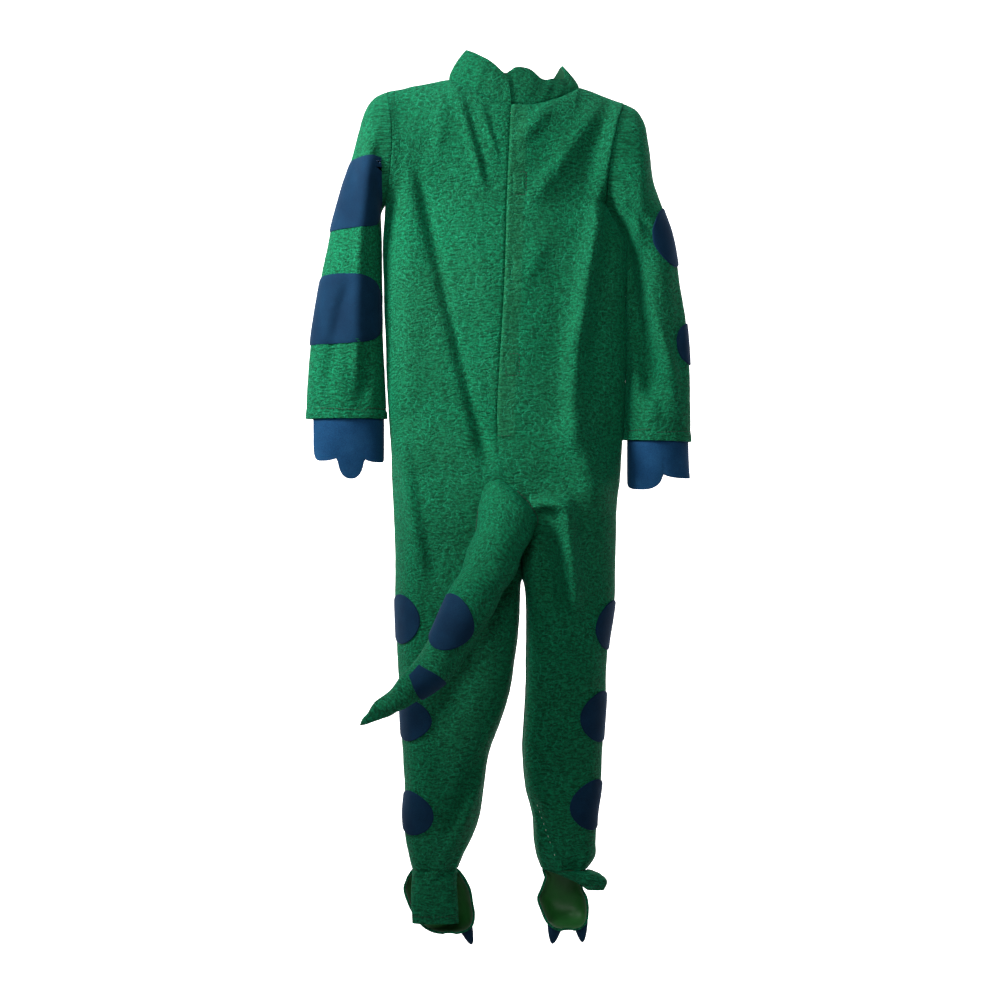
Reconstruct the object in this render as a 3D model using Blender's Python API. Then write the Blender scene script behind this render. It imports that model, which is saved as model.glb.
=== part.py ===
"""A child's dinosaur costume: a footed plush jumpsuit with a stuffed tail, hanging, seen from its back.

The wearer's back faces -Y and carries the overlapping closure and the tail. +Z is up.
The origin is where the suit is held: inside the neck, at the height of the shoulders.
Tables and driving dimensions are in millimetres; the objects are made in metres.
"""

import math
from collections import namedtuple

import bmesh
import bpy
import numpy as np
from mathutils import Vector

MM = 0.001

# Driving dimensions, in millimetres
CLOTH = 2.0
SEAM_GAP = 0.3
EDGE_PULL = 0.15
SPOT_CLOTH = 1.2
FELT = 1.6
SQUARENESS = 2.3
UNDERARM_Z = -158.0
CROTCH_TOP_Z = -510.0
CROTCH_Z = -585.0
ANKLE_Z = -1019.0
CLOSURE_END_Z = -459.0
NECK_CENTRE_X = -1.5
SHOULDER_ROUNDING = 70.0
ARMHOLE_DEPTH = 44.0
ARMHOLE_PULL = 5
ANKLE_WAVES = 3
ANKLE_WAVE_HEIGHT = 2.5
ANKLE_WAVE_REACH = 60.0
SPOT_TURN = 0.1
SHARP_EDGE = 50.0
MERGE = 0.05
ON_PLANE = 1e-4

# How finely the cloth is divided
NECK_COLUMNS = 6
SHOULDER_COLUMNS = 7
ARMHOLE_STEPS = 7
SLEEVE_RINGS = 12
SLEEVE_CROWDING = 1.1
COLLAR_ROWS = 3
SPOT_SIDES = 18
UNDERLAP_COLUMNS = 3
TOE_SIDES = 48

LEFT, RIGHT = -1, 1
BACK, FRONT = -1, 1

# Outline of the body and legs: one row for each level
Section = namedtuple("Section", "z left left_inner right_inner right back front")
BODY = (
    Section(-158, -165.1, -7.0, -7.0, 122.2, 50, 48),
    Section(-203, -167.7, -8.0, -8.0, 145.6, 55, 52),
    Section(-281, -166.4, -11.0, -11.0, 148.2, 58, 55),
    Section(-359, -163.8, -15.6, -15.6, 148.2, 58, 57),
    Section(-437, -159.9, -19.0, -19.0, 145.6, 60, 58),
    Section(-475, -157.5, -17.0, -17.0, 143.0, 62, 58),
    Section(-512, -156.0, -8.0, -8.0, 140.4, 64, 56),
    Section(-560, -153.6, 8.0, 8.0, 135.6, 62, 55),
    Section(-585, -152.8, 12.0, 12.0, 135.2, 60, 54),
    Section(-630, -152.0, 12.2, 13.2, 134.8, 57, 52),
    Section(-671, -151.5, 10.5, 17.5, 133.3, 55, 50),
    Section(-731, -149.5, 6.3, 17.8, 124.8, 50, 47),
    Section(-803, -145.6, -6.0, 16.0, 121.6, 46, 44),
    Section(-876, -141.7, -31.0, 13.4, 117.0, 42, 41),
    Section(-913, -139.1, -36.4, 16.9, 115.7, 40, 39),
    Section(-949, -141.7, -41.6, 26.0, 110.5, 37, 36),
    Section(-985, -137.8, -54.6, 28.6, 109.2, 31, 31),
    Section(-1004, -133.9, -63.7, 32.5, 108.0, 27, 27),
    Section(-1019, -130.0, -70.2, 37.7, 98.0, 23, 23),
)
TORSO_LEVELS = (-158, -200, -250, -305, -360, -410, -459, -510)
CROTCH_SHARES = (0.35, 0.65, 0.85, 0.95, 1.0)
LEG_LEVELS = (-618, -665, -715, -765, -815, -865, -915, -955, -985, -1004, -1019)

# Where each shoulder and neck point lies; the armhole bows in towards the neck
Yoke = namedtuple("Yoke", "neck_x neck_z tip_x tip_z underarm_x bow neck_power")
YOKE = {
    LEFT: Yoke(-83.2, 5.2, -162.5, -10.4, -165.1, 10.0, 1.2),
    RIGHT: Yoke(88.4, -5.2, 145.6, -26.0, 122.2, -6.0, 2.4),
}
NeckEdge = namedtuple("NeckEdge", "centre_z depth")
NECK = {BACK: NeckEdge(-34.0, 38.0), FRONT: NeckEdge(-30.0, 42.0)}

# Sleeve rings: outer and inner point in the plane of the arms, and half depth
Ring = namedtuple("Ring", "outer_x outer_z inner_x inner_z depth")
SLEEVE = {
    LEFT: (
        Ring(-162.5, -10.4, -165.1, -158.0, 44),
        Ring(-179.4, -19.5, -170.3, -168.0, 46),
        Ring(-192.4, -39.0, -170.6, -180.0, 47),
        Ring(-200.2, -66.3, -170.2, -193.0, 47),
        Ring(-209.3, -102.7, -169.9, -210.0, 46),
        Ring(-222.3, -141.7, -169.4, -236.0, 45),
        Ring(-236.6, -196.3, -168.6, -270.0, 44),
        Ring(-252.2, -275.6, -167.2, -325.0, 43),
        Ring(-262.6, -348.4, -165.4, -380.0, 42),
        Ring(-267.8, -435.5, -162.4, -435.5, 41),
    ),
    RIGHT: (
        Ring(145.6, -26.0, 122.2, -158.0, 44),
        Ring(161.2, -35.1, 134.6, -176.0, 46),
        Ring(172.9, -54.6, 145.6, -196.0, 47),
        Ring(178.1, -85.8, 149.4, -214.0, 47),
        Ring(183.3, -124.8, 149.8, -234.0, 46),
        Ring(196.3, -163.8, 150.0, -262.0, 45),
        Ring(209.3, -202.8, 150.0, -292.0, 44),
        Ring(219.7, -267.8, 149.6, -340.0, 43),
        Ring(229.5, -342.8, 148.8, -395.0, 42),
        Ring(232.7, -465.4, 145.6, -463.0, 41),
    ),
}

# Upper edge of the collar, from the under end at the back, round to the lapping end
CollarEdge = namedtuple("CollarEdge", "share x y z")
COLLAR = (
    CollarEdge(0.00, -10.0, -31.0, 6.0),
    CollarEdge(0.08, -20.0, -32.0, 18.0),
    CollarEdge(0.16, -38.0, -27.0, 31.0),
    CollarEdge(0.25, -60.0, -3.0, 43.0),
    CollarEdge(0.33, -42.0, 24.0, 30.0),
    CollarEdge(0.42, -20.0, 36.0, 22.0),
    CollarEdge(0.50, 4.0, 39.0, 20.5),
    CollarEdge(0.58, 28.0, 36.0, 14.0),
    CollarEdge(0.64, 43.0, 29.0, 1.0),
    CollarEdge(0.70, 54.0, 19.0, 10.0),
    CollarEdge(0.75, 65.0, 4.0, 24.0),
    CollarEdge(0.81, 68.0, -12.0, 6.0),
    CollarEdge(0.88, 52.0, -25.0, 3.0),
    CollarEdge(0.93, 38.0, -31.0, 2.0),
    CollarEdge(0.97, 20.0, -36.0, 14.0),
    CollarEdge(1.00, 0.0, -38.0, 14.0),
)
COLLAR_SWELL = 3.0

# Folds on the body's back and front: soft ridges (height over 0) and troughs (under 0)
Fold = namedtuple("Fold", "x0 z0 x1 z1 bow width height")
FOLD_FADE = 0.25
FOLD_START = 0.15
BACK_FOLDS = (
    Fold(-134, -88, -27, -500, 12, 17, -14),
    Fold(-72, -4, -11, -170, 18, 8, 6),
    Fold(-61, -30, -40, -140, 4, 8, -5),
    Fold(144, -28, 58, -460, 10, 12, 12),
    Fold(134, -100, 100, -420, 8, 16, -7),
    Fold(124, -45, 50, -185, 6, 15, -9),
    Fold(116, -28, 30, -160, 15, 9, 7),
    Fold(58, -462, 118, -535, 4, 20, 9),
    Fold(-129, -475, -106, -632, 2, 9, -6),
    Fold(-38, -898, -80, -998, 0, 9, 6),
    Fold(-27, -850, -90, -985, 2, 11, -7),
    Fold(20, -912, 56, -1000, 0, 9, -6),
    Fold(30, -853, 68, -838, 0, 13, -5),
)
FRONT_FOLDS = (
    Fold(-95, -60, -30, -330, 10, 15, -9),
    Fold(92, -70, 38, -360, -10, 15, -9),
    Fold(-110, -330, -40, -520, 8, 18, -7),
    Fold(105, -380, 40, -540, -8, 18, 6),
    Fold(-100, -640, -75, -900, 8, 14, -6),
    Fold(85, -660, 62, -900, -6, 14, -6),
)
SLEEVE_FOLDS = {
    LEFT: (
        Fold(-176, -60, -196, -400, 10, 9, 6),
        Fold(-206, -250, -238, -420, 6, 9, -5),
    ),
    RIGHT: (
        Fold(157, -196, 192, -430, 8, 15, -26),
        Fold(160, -168, 222, -402, 14, 8, 6),
    ),
}

# The stuffed tail's rings: centre, half sizes, and how far the ring's right end is tipped down
TailPoint = namedtuple("TailPoint", "x y z half_width half_depth tip_degrees")
TAIL = (
    TailPoint(-1.3, -46, -535.6, 46, 17, 41),
    TailPoint(-6, -60, -556, 42, 32, 37),
    TailPoint(-14, -74, -587, 36, 37, 31),
    TailPoint(-32, -92, -632, 32, 34, 28),
    TailPoint(-54, -103, -673, 30.5, 31, 28),
    TailPoint(-92, -110, -743, 25.5, 26, 34),
    TailPoint(-133, -111, -782, 18, 18, 46),
    TailPoint(-166, -109, -805, 11, 11, 55),
    TailPoint(-192, -107, -824, 4, 4, 54),
)
TAIL_RINGS = 15
TAIL_SIDES = 14
# The stretch of the back that the tail is cut to, and how deep the hidden cutter goes
SEAT_TOP_Z = -410
SEAT_LEG_ROWS = 4
SEAT_CUTTER_Y = 30.0
SEAT_CUTTER_OVERLAP = 1.0

# Spots sewn on the cloth: centre, the way they face, and half sizes
Spot = namedtuple("Spot", "name host x y z facing_x facing_y half_width half_height")
SPOTS = (
    Spot("sleeve_left_spot_upper", "sleeve_left", -205, -40, -149, -0.25, -0.97, 38, 44),
    Spot("sleeve_left_spot_lower", "sleeve_left", -216, -40, -296, -0.10, -0.99, 42, 43),
    Spot("sleeve_right_spot_upper", "sleeve_right", 208, -20, -202, 0.85, -0.52, 34, 38),
    Spot("sleeve_right_spot_lower", "sleeve_right", 229, -10, -339, 0.94, -0.34, 26, 27),
    Spot("leg_left_spot_upper", "leg_left", -141, -20, -694, -0.75, -0.66, 32, 32),
    Spot("leg_left_spot_middle", "leg_left", -133, -22, -823, -0.75, -0.66, 34, 29),
    Spot("leg_left_spot_lower", "leg_left", -132, -22, -947, -0.75, -0.66, 31, 28),
    Spot("leg_right_spot_upper", "leg_right", 127, -20, -706, 0.88, -0.47, 30, 31),
    Spot("leg_right_spot_middle", "leg_right", 116, -24, -820, 0.78, -0.63, 32, 33),
    Spot("leg_right_spot_lower", "leg_right", 106, -22, -935, 0.77, -0.64, 33, 32),
)
TAIL_SPOTS = (
    Spot("tail_spot_upper", "tail", -83, -131, -693, -0.45, -0.89, 30, 34),
    Spot("tail_spot_lower", "tail", -103, -132, -774, 0.30, -0.70, 28, 15),
)

# Scalloped hand covers: lobes across the cuff, each ending at its own drop
Lobe = namedtuple("Lobe", "end drop")
Mitt = namedtuple("Mitt", "start_cell end_cell lobes notch_drop start_drop end_drop clearance")
MITTS = {
    LEFT: Mitt(1.25, 6.75, (Lobe(0.33, 55), Lobe(0.63, 78), Lobe(1.0, 57)), 50, 33, 45, 1.2),
    RIGHT: Mitt(-0.5, 6.75, (Lobe(0.51, 48), Lobe(1.0, 64)), 42, 36, 47, 1.4),
}
LOBE_SQUARENESS = 2.5
MITT_COLUMNS_PER_CELL = 4
MITT_ROWS = 3
MITT_HIDDEN_SHARE = 0.12

# Shoe covers, hanging toe down: below the ankle seam, a hollow upper open towards the back
UpperRow = namedtuple("UpperRow", "z x half_width depth y")
UPPER = {
    LEFT: (
        UpperRow(-1032, -99.5, 38, 27, 3),
        UpperRow(-1047, -98.0, 44, 32, 5),
        UpperRow(-1066, -93.0, 43, 34, 5),
        UpperRow(-1082, -88.0, 40, 33, 2),
        UpperRow(-1094, -84.0, 33, 29, -4),
        UpperRow(-1101, -82.0, 22, 20, -8),
        UpperRow(-1104, -81.0, 8, 8, -10),
    ),
    RIGHT: (
        UpperRow(-1032, 66.5, 24, 24, 2),
        UpperRow(-1047, 65.0, 28, 27, 4),
        UpperRow(-1060, 65.5, 33, 29, 5),
        UpperRow(-1076, 69.0, 31, 29, 3),
        UpperRow(-1089, 71.0, 27, 26, -2),
        UpperRow(-1097, 72.0, 19, 18, -6),
        UpperRow(-1100, 72.0, 8, 8, -8),
    ),
}
# The heel flap below the ankle seam, hanging towards the back
HeelRow = namedtuple("HeelRow", "z x half_width sag y")
HEEL = {
    LEFT: (
        HeelRow(-1035, -101.0, 29, 19, -5),
        HeelRow(-1055, -101.0, 30, 15, -11),
        HeelRow(-1075, -100.0, 30, 12, -15),
        HeelRow(-1088, -99.5, 30, 10, -16),
    ),
    RIGHT: (
        HeelRow(-1025, 86.0, 28, 20, -8),
        HeelRow(-1031, 97.0, 25, 16, -13),
        HeelRow(-1037, 104.0, 19, 11, -15),
        HeelRow(-1045, 108.0, 11, 7, -14),
    ),
}
# Stuffed claws, sewn on at the toe end
Claw = namedtuple("Claw", "name foot x y z tip_x tip_y tip_z radius")
CLAWS = (
    Claw("claw_left_outer", LEFT, -95, 22, -1078, -99, 40, -1097, 11),
    Claw("claw_left_inner", LEFT, -66, 6, -1083, -53, 12, -1121, 12),
    Claw("claw_right_inner", RIGHT, 58, 6, -1083, 53, 12, -1120, 12),
    Claw("claw_right_outer", RIGHT, 88, 6, -1083, 92, 12, -1118, 11),
)
CLAW_RINGS = 6
CLAW_SIDES = 10
CLAW_TIP_SHARE = 0.1
CLAW_TAPER = 0.3
CLAW_FLATNESS = 0.8

# Finish of each material: base colour and roughness
PLUSH = ("green_plush", (0.02, 0.26, 0.10), 0.85)
LINING = ("green_lining", (0.05, 0.22, 0.04), 0.6)
BLUE_FELT = ("blue_felt", (0.02, 0.06, 0.25), 0.9)


def smooth_at(rows, column, key, value):
    """The column's value at key, on a Catmull-Rom curve through the table's rows."""
    keys = np.array([getattr(row, key) for row in rows], float)
    values = np.array([getattr(row, column) for row in rows], float)
    if keys[0] > keys[-1]:
        keys, values = keys[::-1], values[::-1]
    slopes = np.gradient(values, keys)
    value = min(max(value, keys[0]), keys[-1])
    i = min(int(np.searchsorted(keys, value, side="right")) - 1, len(keys) - 2)
    span = keys[i + 1] - keys[i]
    t = (value - keys[i]) / span
    return (
        (2 * t**3 - 3 * t**2 + 1) * values[i]
        + (t**3 - 2 * t**2 + t) * span * slopes[i]
        + (3 * t**2 - 2 * t**3) * values[i + 1]
        + (t**3 - t**2) * span * slopes[i + 1]
    )


def fold_height(folds, x, z):
    """Sum of the soft ridges and troughs at a point of the body's broad face."""
    total = 0.0
    for fold in folds:
        run = np.array([fold.x1 - fold.x0, fold.z1 - fold.z0])
        length = np.linalg.norm(run)
        along = run / length
        offset = np.array([x - fold.x0, z - fold.z0])
        share = float(offset @ along) / length
        across = offset[0] * along[1] - offset[1] * along[0]
        across -= fold.bow * 4 * share * (1 - share)
        ends = max(0.0, min(1.0, min(share, 1 - share) / FOLD_FADE + FOLD_START))
        total += fold.height * ends * math.exp(-((across / fold.width) ** 2))
    return total


def power_of(value):
    """A superellipse's coordinate for the sine or cosine of its angle."""
    return math.copysign(abs(value) ** (2 / SQUARENESS), value)


def neck_share(side):
    """How far out the neck point lies, as a share of the shoulder's width."""
    yoke = YOKE[side]
    return (yoke.neck_x - NECK_CENTRE_X) / (yoke.tip_x - NECK_CENTRE_X)


def columns_of(side):
    """Turns from the centre (0) to the side seam (1), with one at the neck point."""
    neck = math.asin(neck_share(side) ** (SQUARENESS / 2)) / (math.pi / 2)
    inner = [neck * i / NECK_COLUMNS for i in range(NECK_COLUMNS + 1)]
    outer = [neck + (1 - neck) * i / SHOULDER_COLUMNS for i in range(1, SHOULDER_COLUMNS + 1)]
    return inner + outer


def top_height(side, face, share):
    """Height of the neck edge and the shoulder line over a point of the yoke."""
    yoke, neck = YOKE[side], neck_share(side)
    centre = NECK[face].centre_z
    if share < neck:
        return centre + (yoke.neck_z - centre) * (share / neck) ** yoke.neck_power
    return yoke.neck_z + (yoke.tip_z - yoke.neck_z) * (share - neck) / (1 - neck)


def yoke_point(side, face, turn, rise):
    """A point of the yoke: turn runs out from the centre, rise up from the underarm."""
    yoke, neck = YOKE[side], neck_share(side)
    section = BODY[0]
    share = power_of(math.sin(turn * math.pi / 2))
    swing = 2 * math.sqrt(max(0.0, rise * (1 - rise)))
    edge_x = yoke.underarm_x + (yoke.tip_x - yoke.underarm_x) * rise + yoke.bow * swing**2
    centre_x = section.left_inner + (NECK_CENTRE_X - section.left_inner) * rise
    x = centre_x + (edge_x - centre_x) * share
    top = top_height(side, face, share)
    z = UNDERARM_Z + (top - UNDERARM_Z) * rise
    below = min(1.0, max(0.0, top - z) / SHOULDER_ROUNDING)
    rounding = math.sqrt(1 - (1 - below) ** 2)
    neck_depth = NECK[face].depth * math.sqrt(max(0.0, 1 - (share / neck) ** 2))
    full = section.back if face == BACK else section.front
    bulk = power_of(math.cos(turn * math.pi / 2))
    pull = ARMHOLE_DEPTH * swing ** (1 + 2 * (1 - share)) * share**ARMHOLE_PULL
    depth = math.hypot(full * bulk * rounding, pull) + neck_depth * (1 - rounding)
    depth += face_folds(face, x, z) * min(1.0, bulk * 1.5) * rounding
    return (x, face * depth, z)


def face_folds(face, x, z):
    return fold_height(BACK_FOLDS if face == BACK else FRONT_FOLDS, x, z)


def body_point(side, face, turn, z):
    """A point of the torso or a leg: turn runs from the centre or inseam to the side seam."""
    outer = smooth_at(BODY, "left" if side == LEFT else "right", "z", z)
    inner = smooth_at(BODY, "right_inner" if side == RIGHT and z < CROTCH_Z else "left_inner", "z", z)
    depth = smooth_at(BODY, "back" if face == BACK else "front", "z", z)
    split = min(1.0, max(0.0, (CROTCH_TOP_Z - z) / (CROTCH_TOP_Z - CROTCH_Z)))
    half = abs(inner - outer) / (1 + split)
    centre_x = outer - side * half
    start = math.acos(min(1.0, split ** (SQUARENESS / 2)))
    angle = start + turn * (math.pi - start)
    x = centre_x - side * half * power_of(math.cos(angle))
    bulk = power_of(math.sin(max(0.0, angle))) if angle < math.pi - 1e-9 else 0.0
    near_ankle = max(0.0, 1 - (z - ANKLE_Z) / ANKLE_WAVE_REACH)
    waves = ANKLE_WAVE_HEIGHT * near_ankle * math.sin(2 * math.pi * ANKLE_WAVES * turn)
    y = depth * bulk + (face_folds(face, x, z) + waves) * min(1.0, bulk * 1.5)
    return (x, face * y, z)


def body_panel(side, face):
    """One panel's outer face, from shoulder and neck down to the ankle, as rows of points."""
    turns = columns_of(side)
    rises = [(1 + math.cos(math.pi * i / ARMHOLE_STEPS)) / 2 for i in range(ARMHOLE_STEPS)]
    rows = [[yoke_point(side, face, turn, rise) for turn in turns] for rise in rises]
    crotch = [CROTCH_TOP_Z + (CROTCH_Z - CROTCH_TOP_Z) * share for share in CROTCH_SHARES]
    for z in (*TORSO_LEVELS, *crotch, *LEG_LEVELS):
        rows.append([body_point(side, face, turn, z) for turn in turns])
    return np.array(rows)


def sleeve_point(side, share, angle):
    """A point of the sleeve: share runs from armhole to cuff, angle from the top round the back."""
    rings = SLEEVE[side]
    at = share * (len(rings) - 1)
    keyed = [KeyedRing(i, *ring) for i, ring in enumerate(rings)]
    outer_x, outer_z, inner_x, inner_z, depth = (
        smooth_at(keyed, column, "at", at) for column in Ring._fields
    )
    around = (1 + math.cos(angle)) / 2
    x = inner_x + (outer_x - inner_x) * around
    z = inner_z + (outer_z - inner_z) * around
    x += YOKE[side].bow * math.sin(angle) ** 2 * max(0.0, 1 - at)
    away = math.sin(angle)
    if abs(away) < 1e-9:
        return (x, 0.0, z)
    y = depth * away
    if away > 0:
        y += fold_height(SLEEVE_FOLDS[side], x, z) * min(1.0, away * 1.5) * min(1.0, at)
    return (x, -y, z)


KeyedRing = namedtuple("KeyedRing", ("at", *Ring._fields))


def sleeve_surface(side):
    """The sleeve's outer face as closed rings; its first ring is the armhole's edge."""
    count = 2 * ARMHOLE_STEPS
    angles = [2 * math.pi * i / count for i in range(count + 1)]
    shares = [(i / SLEEVE_RINGS) ** SLEEVE_CROWDING for i in range(SLEEVE_RINGS + 1)]
    return np.array([[sleeve_point(side, share, angle) for angle in angles] for share in shares])


def collar_surface(panels):
    """The collar's outer face: its lower edge is the neck edge of the four panels."""
    count = NECK_COLUMNS
    lower = list(panels[LEFT, BACK][0][: count + 1])
    lower += list(panels[LEFT, FRONT][0][count - 1 :: -1])
    lower += list(panels[RIGHT, FRONT][0][1 : count + 1])
    lower += list(panels[RIGHT, BACK][0][count - 1 :: -1])
    rows = []
    for r in range(COLLAR_ROWS + 1):
        rise = 1 - r / COLLAR_ROWS
        row = []
        for i, foot in enumerate(lower):
            share = i / (len(lower) - 1)
            top = np.array([smooth_at(COLLAR, axis, "share", share) for axis in "xyz"])
            out = np.array([foot[0], foot[1], 0.0])
            out /= max(1.0, np.linalg.norm(out))
            swell = COLLAR_SWELL * math.sin(math.pi * rise)
            row.append(foot + (top - foot) * rise + out * swell)
        rows.append(row)
    return np.array(rows)


def face_normals(surface):
    """The normal of each cell of a surface of rows of points, weighted by its area."""
    down = (surface[1:, :-1] + surface[1:, 1:] - surface[:-1, :-1] - surface[:-1, 1:]) / 2
    along = (surface[:-1, 1:] + surface[1:, 1:] - surface[:-1, :-1] - surface[1:, :-1]) / 2
    return np.cross(along, down)


def shared_normals(surfaces, turned):
    """Unit normals at every point, the same on each side of a seam. turned names those to flip."""
    sums = {}

    def key(point):
        return tuple(np.round(point, 3))

    for name, surface in surfaces.items():
        cells = face_normals(surface) * (-1 if name in turned else 1)
        for (r, c), _ in np.ndenumerate(cells[..., 0]):
            for point in (surface[r, c], surface[r + 1, c], surface[r, c + 1], surface[r + 1, c + 1]):
                sums[key(point)] = sums.get(key(point), 0) + cells[r, c]
    normals = {}
    for name, surface in surfaces.items():
        found = np.array([[sums[key(point)] for point in row] for row in surface])
        normals[name] = found / np.linalg.norm(found, axis=2, keepdims=True)
    return normals


def pulled_in(surface, closed):
    """The surface with its free edges drawn in, which parts it from what it is sewn to."""
    drawn = surface.copy()

    def draw(edge, towards):
        step = towards - edge
        return edge + EDGE_PULL * step / np.linalg.norm(step, axis=-1, keepdims=True)

    drawn[0] = draw(surface[0], surface[1])
    drawn[-1] = draw(surface[-1], surface[-2])
    if not closed:
        drawn[:, 0] = draw(drawn[:, 0], drawn[:, 1])
        drawn[:, -1] = draw(drawn[:, -1], drawn[:, -2])
    return drawn


def material_of(finish):
    name, colour, roughness = finish
    material = bpy.data.materials.get(name)
    if material is None:
        material = bpy.data.materials.new(name)
        material.use_nodes = True
        shader = material.node_tree.nodes["Principled BSDF"]
        shader.inputs["Base Color"].default_value = (*colour, 1.0)
        shader.inputs["Roughness"].default_value = roughness
        shader.inputs["Metallic"].default_value = 0.0
        material.diffuse_color = (*colour, 1.0)
    return material


def object_of(name, mesh, finish):
    obj = bpy.data.objects.new(name, mesh)
    bpy.context.scene.collection.objects.link(obj)
    mesh.materials.append(material_of(finish))
    mesh.shade_smooth()
    mesh.set_sharp_from_angle(angle=math.radians(SHARP_EDGE))
    return obj


def outward(bm):
    """Turns a closed mesh's faces to point out."""
    bmesh.ops.recalc_face_normals(bm, faces=bm.faces)
    if bm.calc_volume(signed=True) < 0:
        bmesh.ops.reverse_faces(bm, faces=bm.faces)


def cell_triangles(r, c):
    """The two triangles of a surface's cell, as rows and columns of their corners."""
    return ((r, c), (r, c + 1), (r + 1, c + 1)), ((r, c), (r + 1, c + 1), (r + 1, c))


def wall(name, surface, normals, thickness, finish, closed=False, inset=0.0):
    """A cloth wall: the surface and its copy one thickness inside, joined round the edges."""
    outer = pulled_in(surface, closed)
    sides = (outer - normals * inset, outer - normals * (inset + thickness))
    rows, columns = surface.shape[:2]
    span = columns - 1 if closed else columns
    bm = bmesh.new()
    layers = [
        [[bm.verts.new(Vector(side[r, c]) * MM) for c in range(span)] for r in range(rows)]
        for side in sides
    ]
    for layer in layers:
        for r in range(rows - 1):
            for c in range(columns - 1):
                for corners in cell_triangles(r, c):
                    bm.faces.new([layer[i][j % span] for i, j in corners])
    near, far = layers
    for r in (0, rows - 1):
        for c in range(columns - 1):
            d = (c + 1) % span
            bm.faces.new((near[r][c], near[r][d], far[r][d], far[r][c]))
    if not closed:
        for c in (0, columns - 1):
            for r in range(rows - 1):
                bm.faces.new((near[r][c], near[r + 1][c], far[r + 1][c], far[r][c]))
    bmesh.ops.triangulate(bm, faces=bm.faces)
    outward(bm)
    mesh = bpy.data.meshes.new(name)
    bm.to_mesh(mesh)
    bm.free()
    return object_of(name, mesh, finish)


def spot(row, hosts, finish):
    """An oval of felt cut from its hosts' own cells, moved out by a seam gap."""
    facing = Vector((row.facing_x, row.facing_y, 0)).normalized()
    across = facing.cross(Vector((0, 0, 1))).normalized()
    centre = Vector((row.x, row.y, row.z))
    bm = bmesh.new()
    made = {}
    for surface, normals in hosts:
        lifted = surface + normals * SEAM_GAP
        shown = normals @ np.array(facing) > SPOT_TURN
        for r in range(surface.shape[0] - 1):
            for c in range(surface.shape[1] - 1):
                if not shown[r : r + 2, c : c + 2].all():
                    continue
                for corners in cell_triangles(r, c):
                    keys = [tuple(np.round(surface[at], 3)) for at in corners]
                    for at, key in zip(corners, keys):
                        if key not in made:
                            made[key] = bm.verts.new(Vector(lifted[at]))
                    face = bm.faces.new([made[key] for key in keys])
                    face.normal_update()
                    if face.normal.dot(Vector(normals[corners[0]])) < 0:
                        face.normal_flip()
    for i in range(SPOT_SIDES):
        angle = 2 * math.pi * i / SPOT_SIDES
        rim = across * row.half_width * math.cos(angle) + Vector((0, 0, row.half_height * math.sin(angle)))
        out = (
            across * math.cos(angle) / row.half_width + Vector((0, 0, math.sin(angle) / row.half_height))
        ).normalized()
        bmesh.ops.bisect_plane(
            bm, geom=[*bm.verts, *bm.edges, *bm.faces], dist=ON_PLANE, plane_co=centre + rim,
            plane_no=out, clear_outer=True,
        )
    bmesh.ops.remove_doubles(bm, verts=bm.verts, dist=MERGE)
    keep_island(bm, centre)
    bmesh.ops.triangulate(bm, faces=bm.faces)
    bm.normal_update()
    thicken(bm, SPOT_CLOTH)
    for vertex in bm.verts:
        vertex.co *= MM
    mesh = bpy.data.meshes.new(row.name)
    bm.to_mesh(mesh)
    bm.free()
    return object_of(row.name, mesh, finish)


def keep_island(bm, centre):
    """Leaves only the joined faces that hold the face nearest the centre."""
    nearest = min(bm.faces, key=lambda face: (face.calc_center_median() - centre).length)
    kept, waiting = {nearest}, [nearest]
    while waiting:
        for edge in waiting.pop().edges:
            for face in edge.link_faces:
                if face not in kept:
                    kept.add(face)
                    waiting.append(face)
    bmesh.ops.delete(bm, geom=[face for face in bm.faces if face not in kept], context="FACES")
    loose = [vertex for vertex in bm.verts if not vertex.link_faces]
    bmesh.ops.delete(bm, geom=loose, context="VERTS")


def thicken(bm, thickness):
    """Makes an open sheet a closed wall by lifting a copy of it along its normals."""
    base_faces = list(bm.faces)
    normals = {vertex: vertex.normal.copy() for vertex in bm.verts}
    rim = [edge for edge in bm.edges if len(edge.link_faces) == 1]
    top = {vertex: bm.verts.new(vertex.co + normals[vertex] * thickness) for vertex in list(bm.verts)}
    for face in base_faces:
        bm.faces.new([top[vertex] for vertex in face.verts])
    for edge in rim:
        a, b = edge.verts
        bm.faces.new((a, b, top[b]))
        bm.faces.new((a, top[b], top[a]))
    outward(bm)


def tail_surface():
    """The tail's rings along its centre line, from the seam on the seat to the tip."""
    keyed = [KeyedTail(i, *point) for i, point in enumerate(TAIL)]
    last = len(TAIL) - 1

    def centre(at):
        return np.array([smooth_at(keyed, axis, "at", at) for axis in "xyz"])

    rows = []
    for i in range(TAIL_RINGS + 1):
        at = last * i / TAIL_RINGS
        tip = math.radians(smooth_at(keyed, "tip_degrees", "at", at))
        side = np.array((math.cos(tip), 0.0, -math.sin(tip)))
        up = np.cross(side, centre(min(last, at + 0.05)) - centre(max(0, at - 0.05)))
        up /= np.linalg.norm(up)
        half_width = smooth_at(keyed, "half_width", "at", at)
        half_depth = smooth_at(keyed, "half_depth", "at", at)
        angles = [2 * math.pi * k / TAIL_SIDES for k in range(TAIL_SIDES + 1)]
        rows.append([
            centre(at) + half_width * math.cos(angle) * side + half_depth * math.sin(angle) * up
            for angle in angles
        ])
    return np.array(rows)


KeyedTail = namedtuple("KeyedTail", ("at", *TailPoint._fields))


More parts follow.
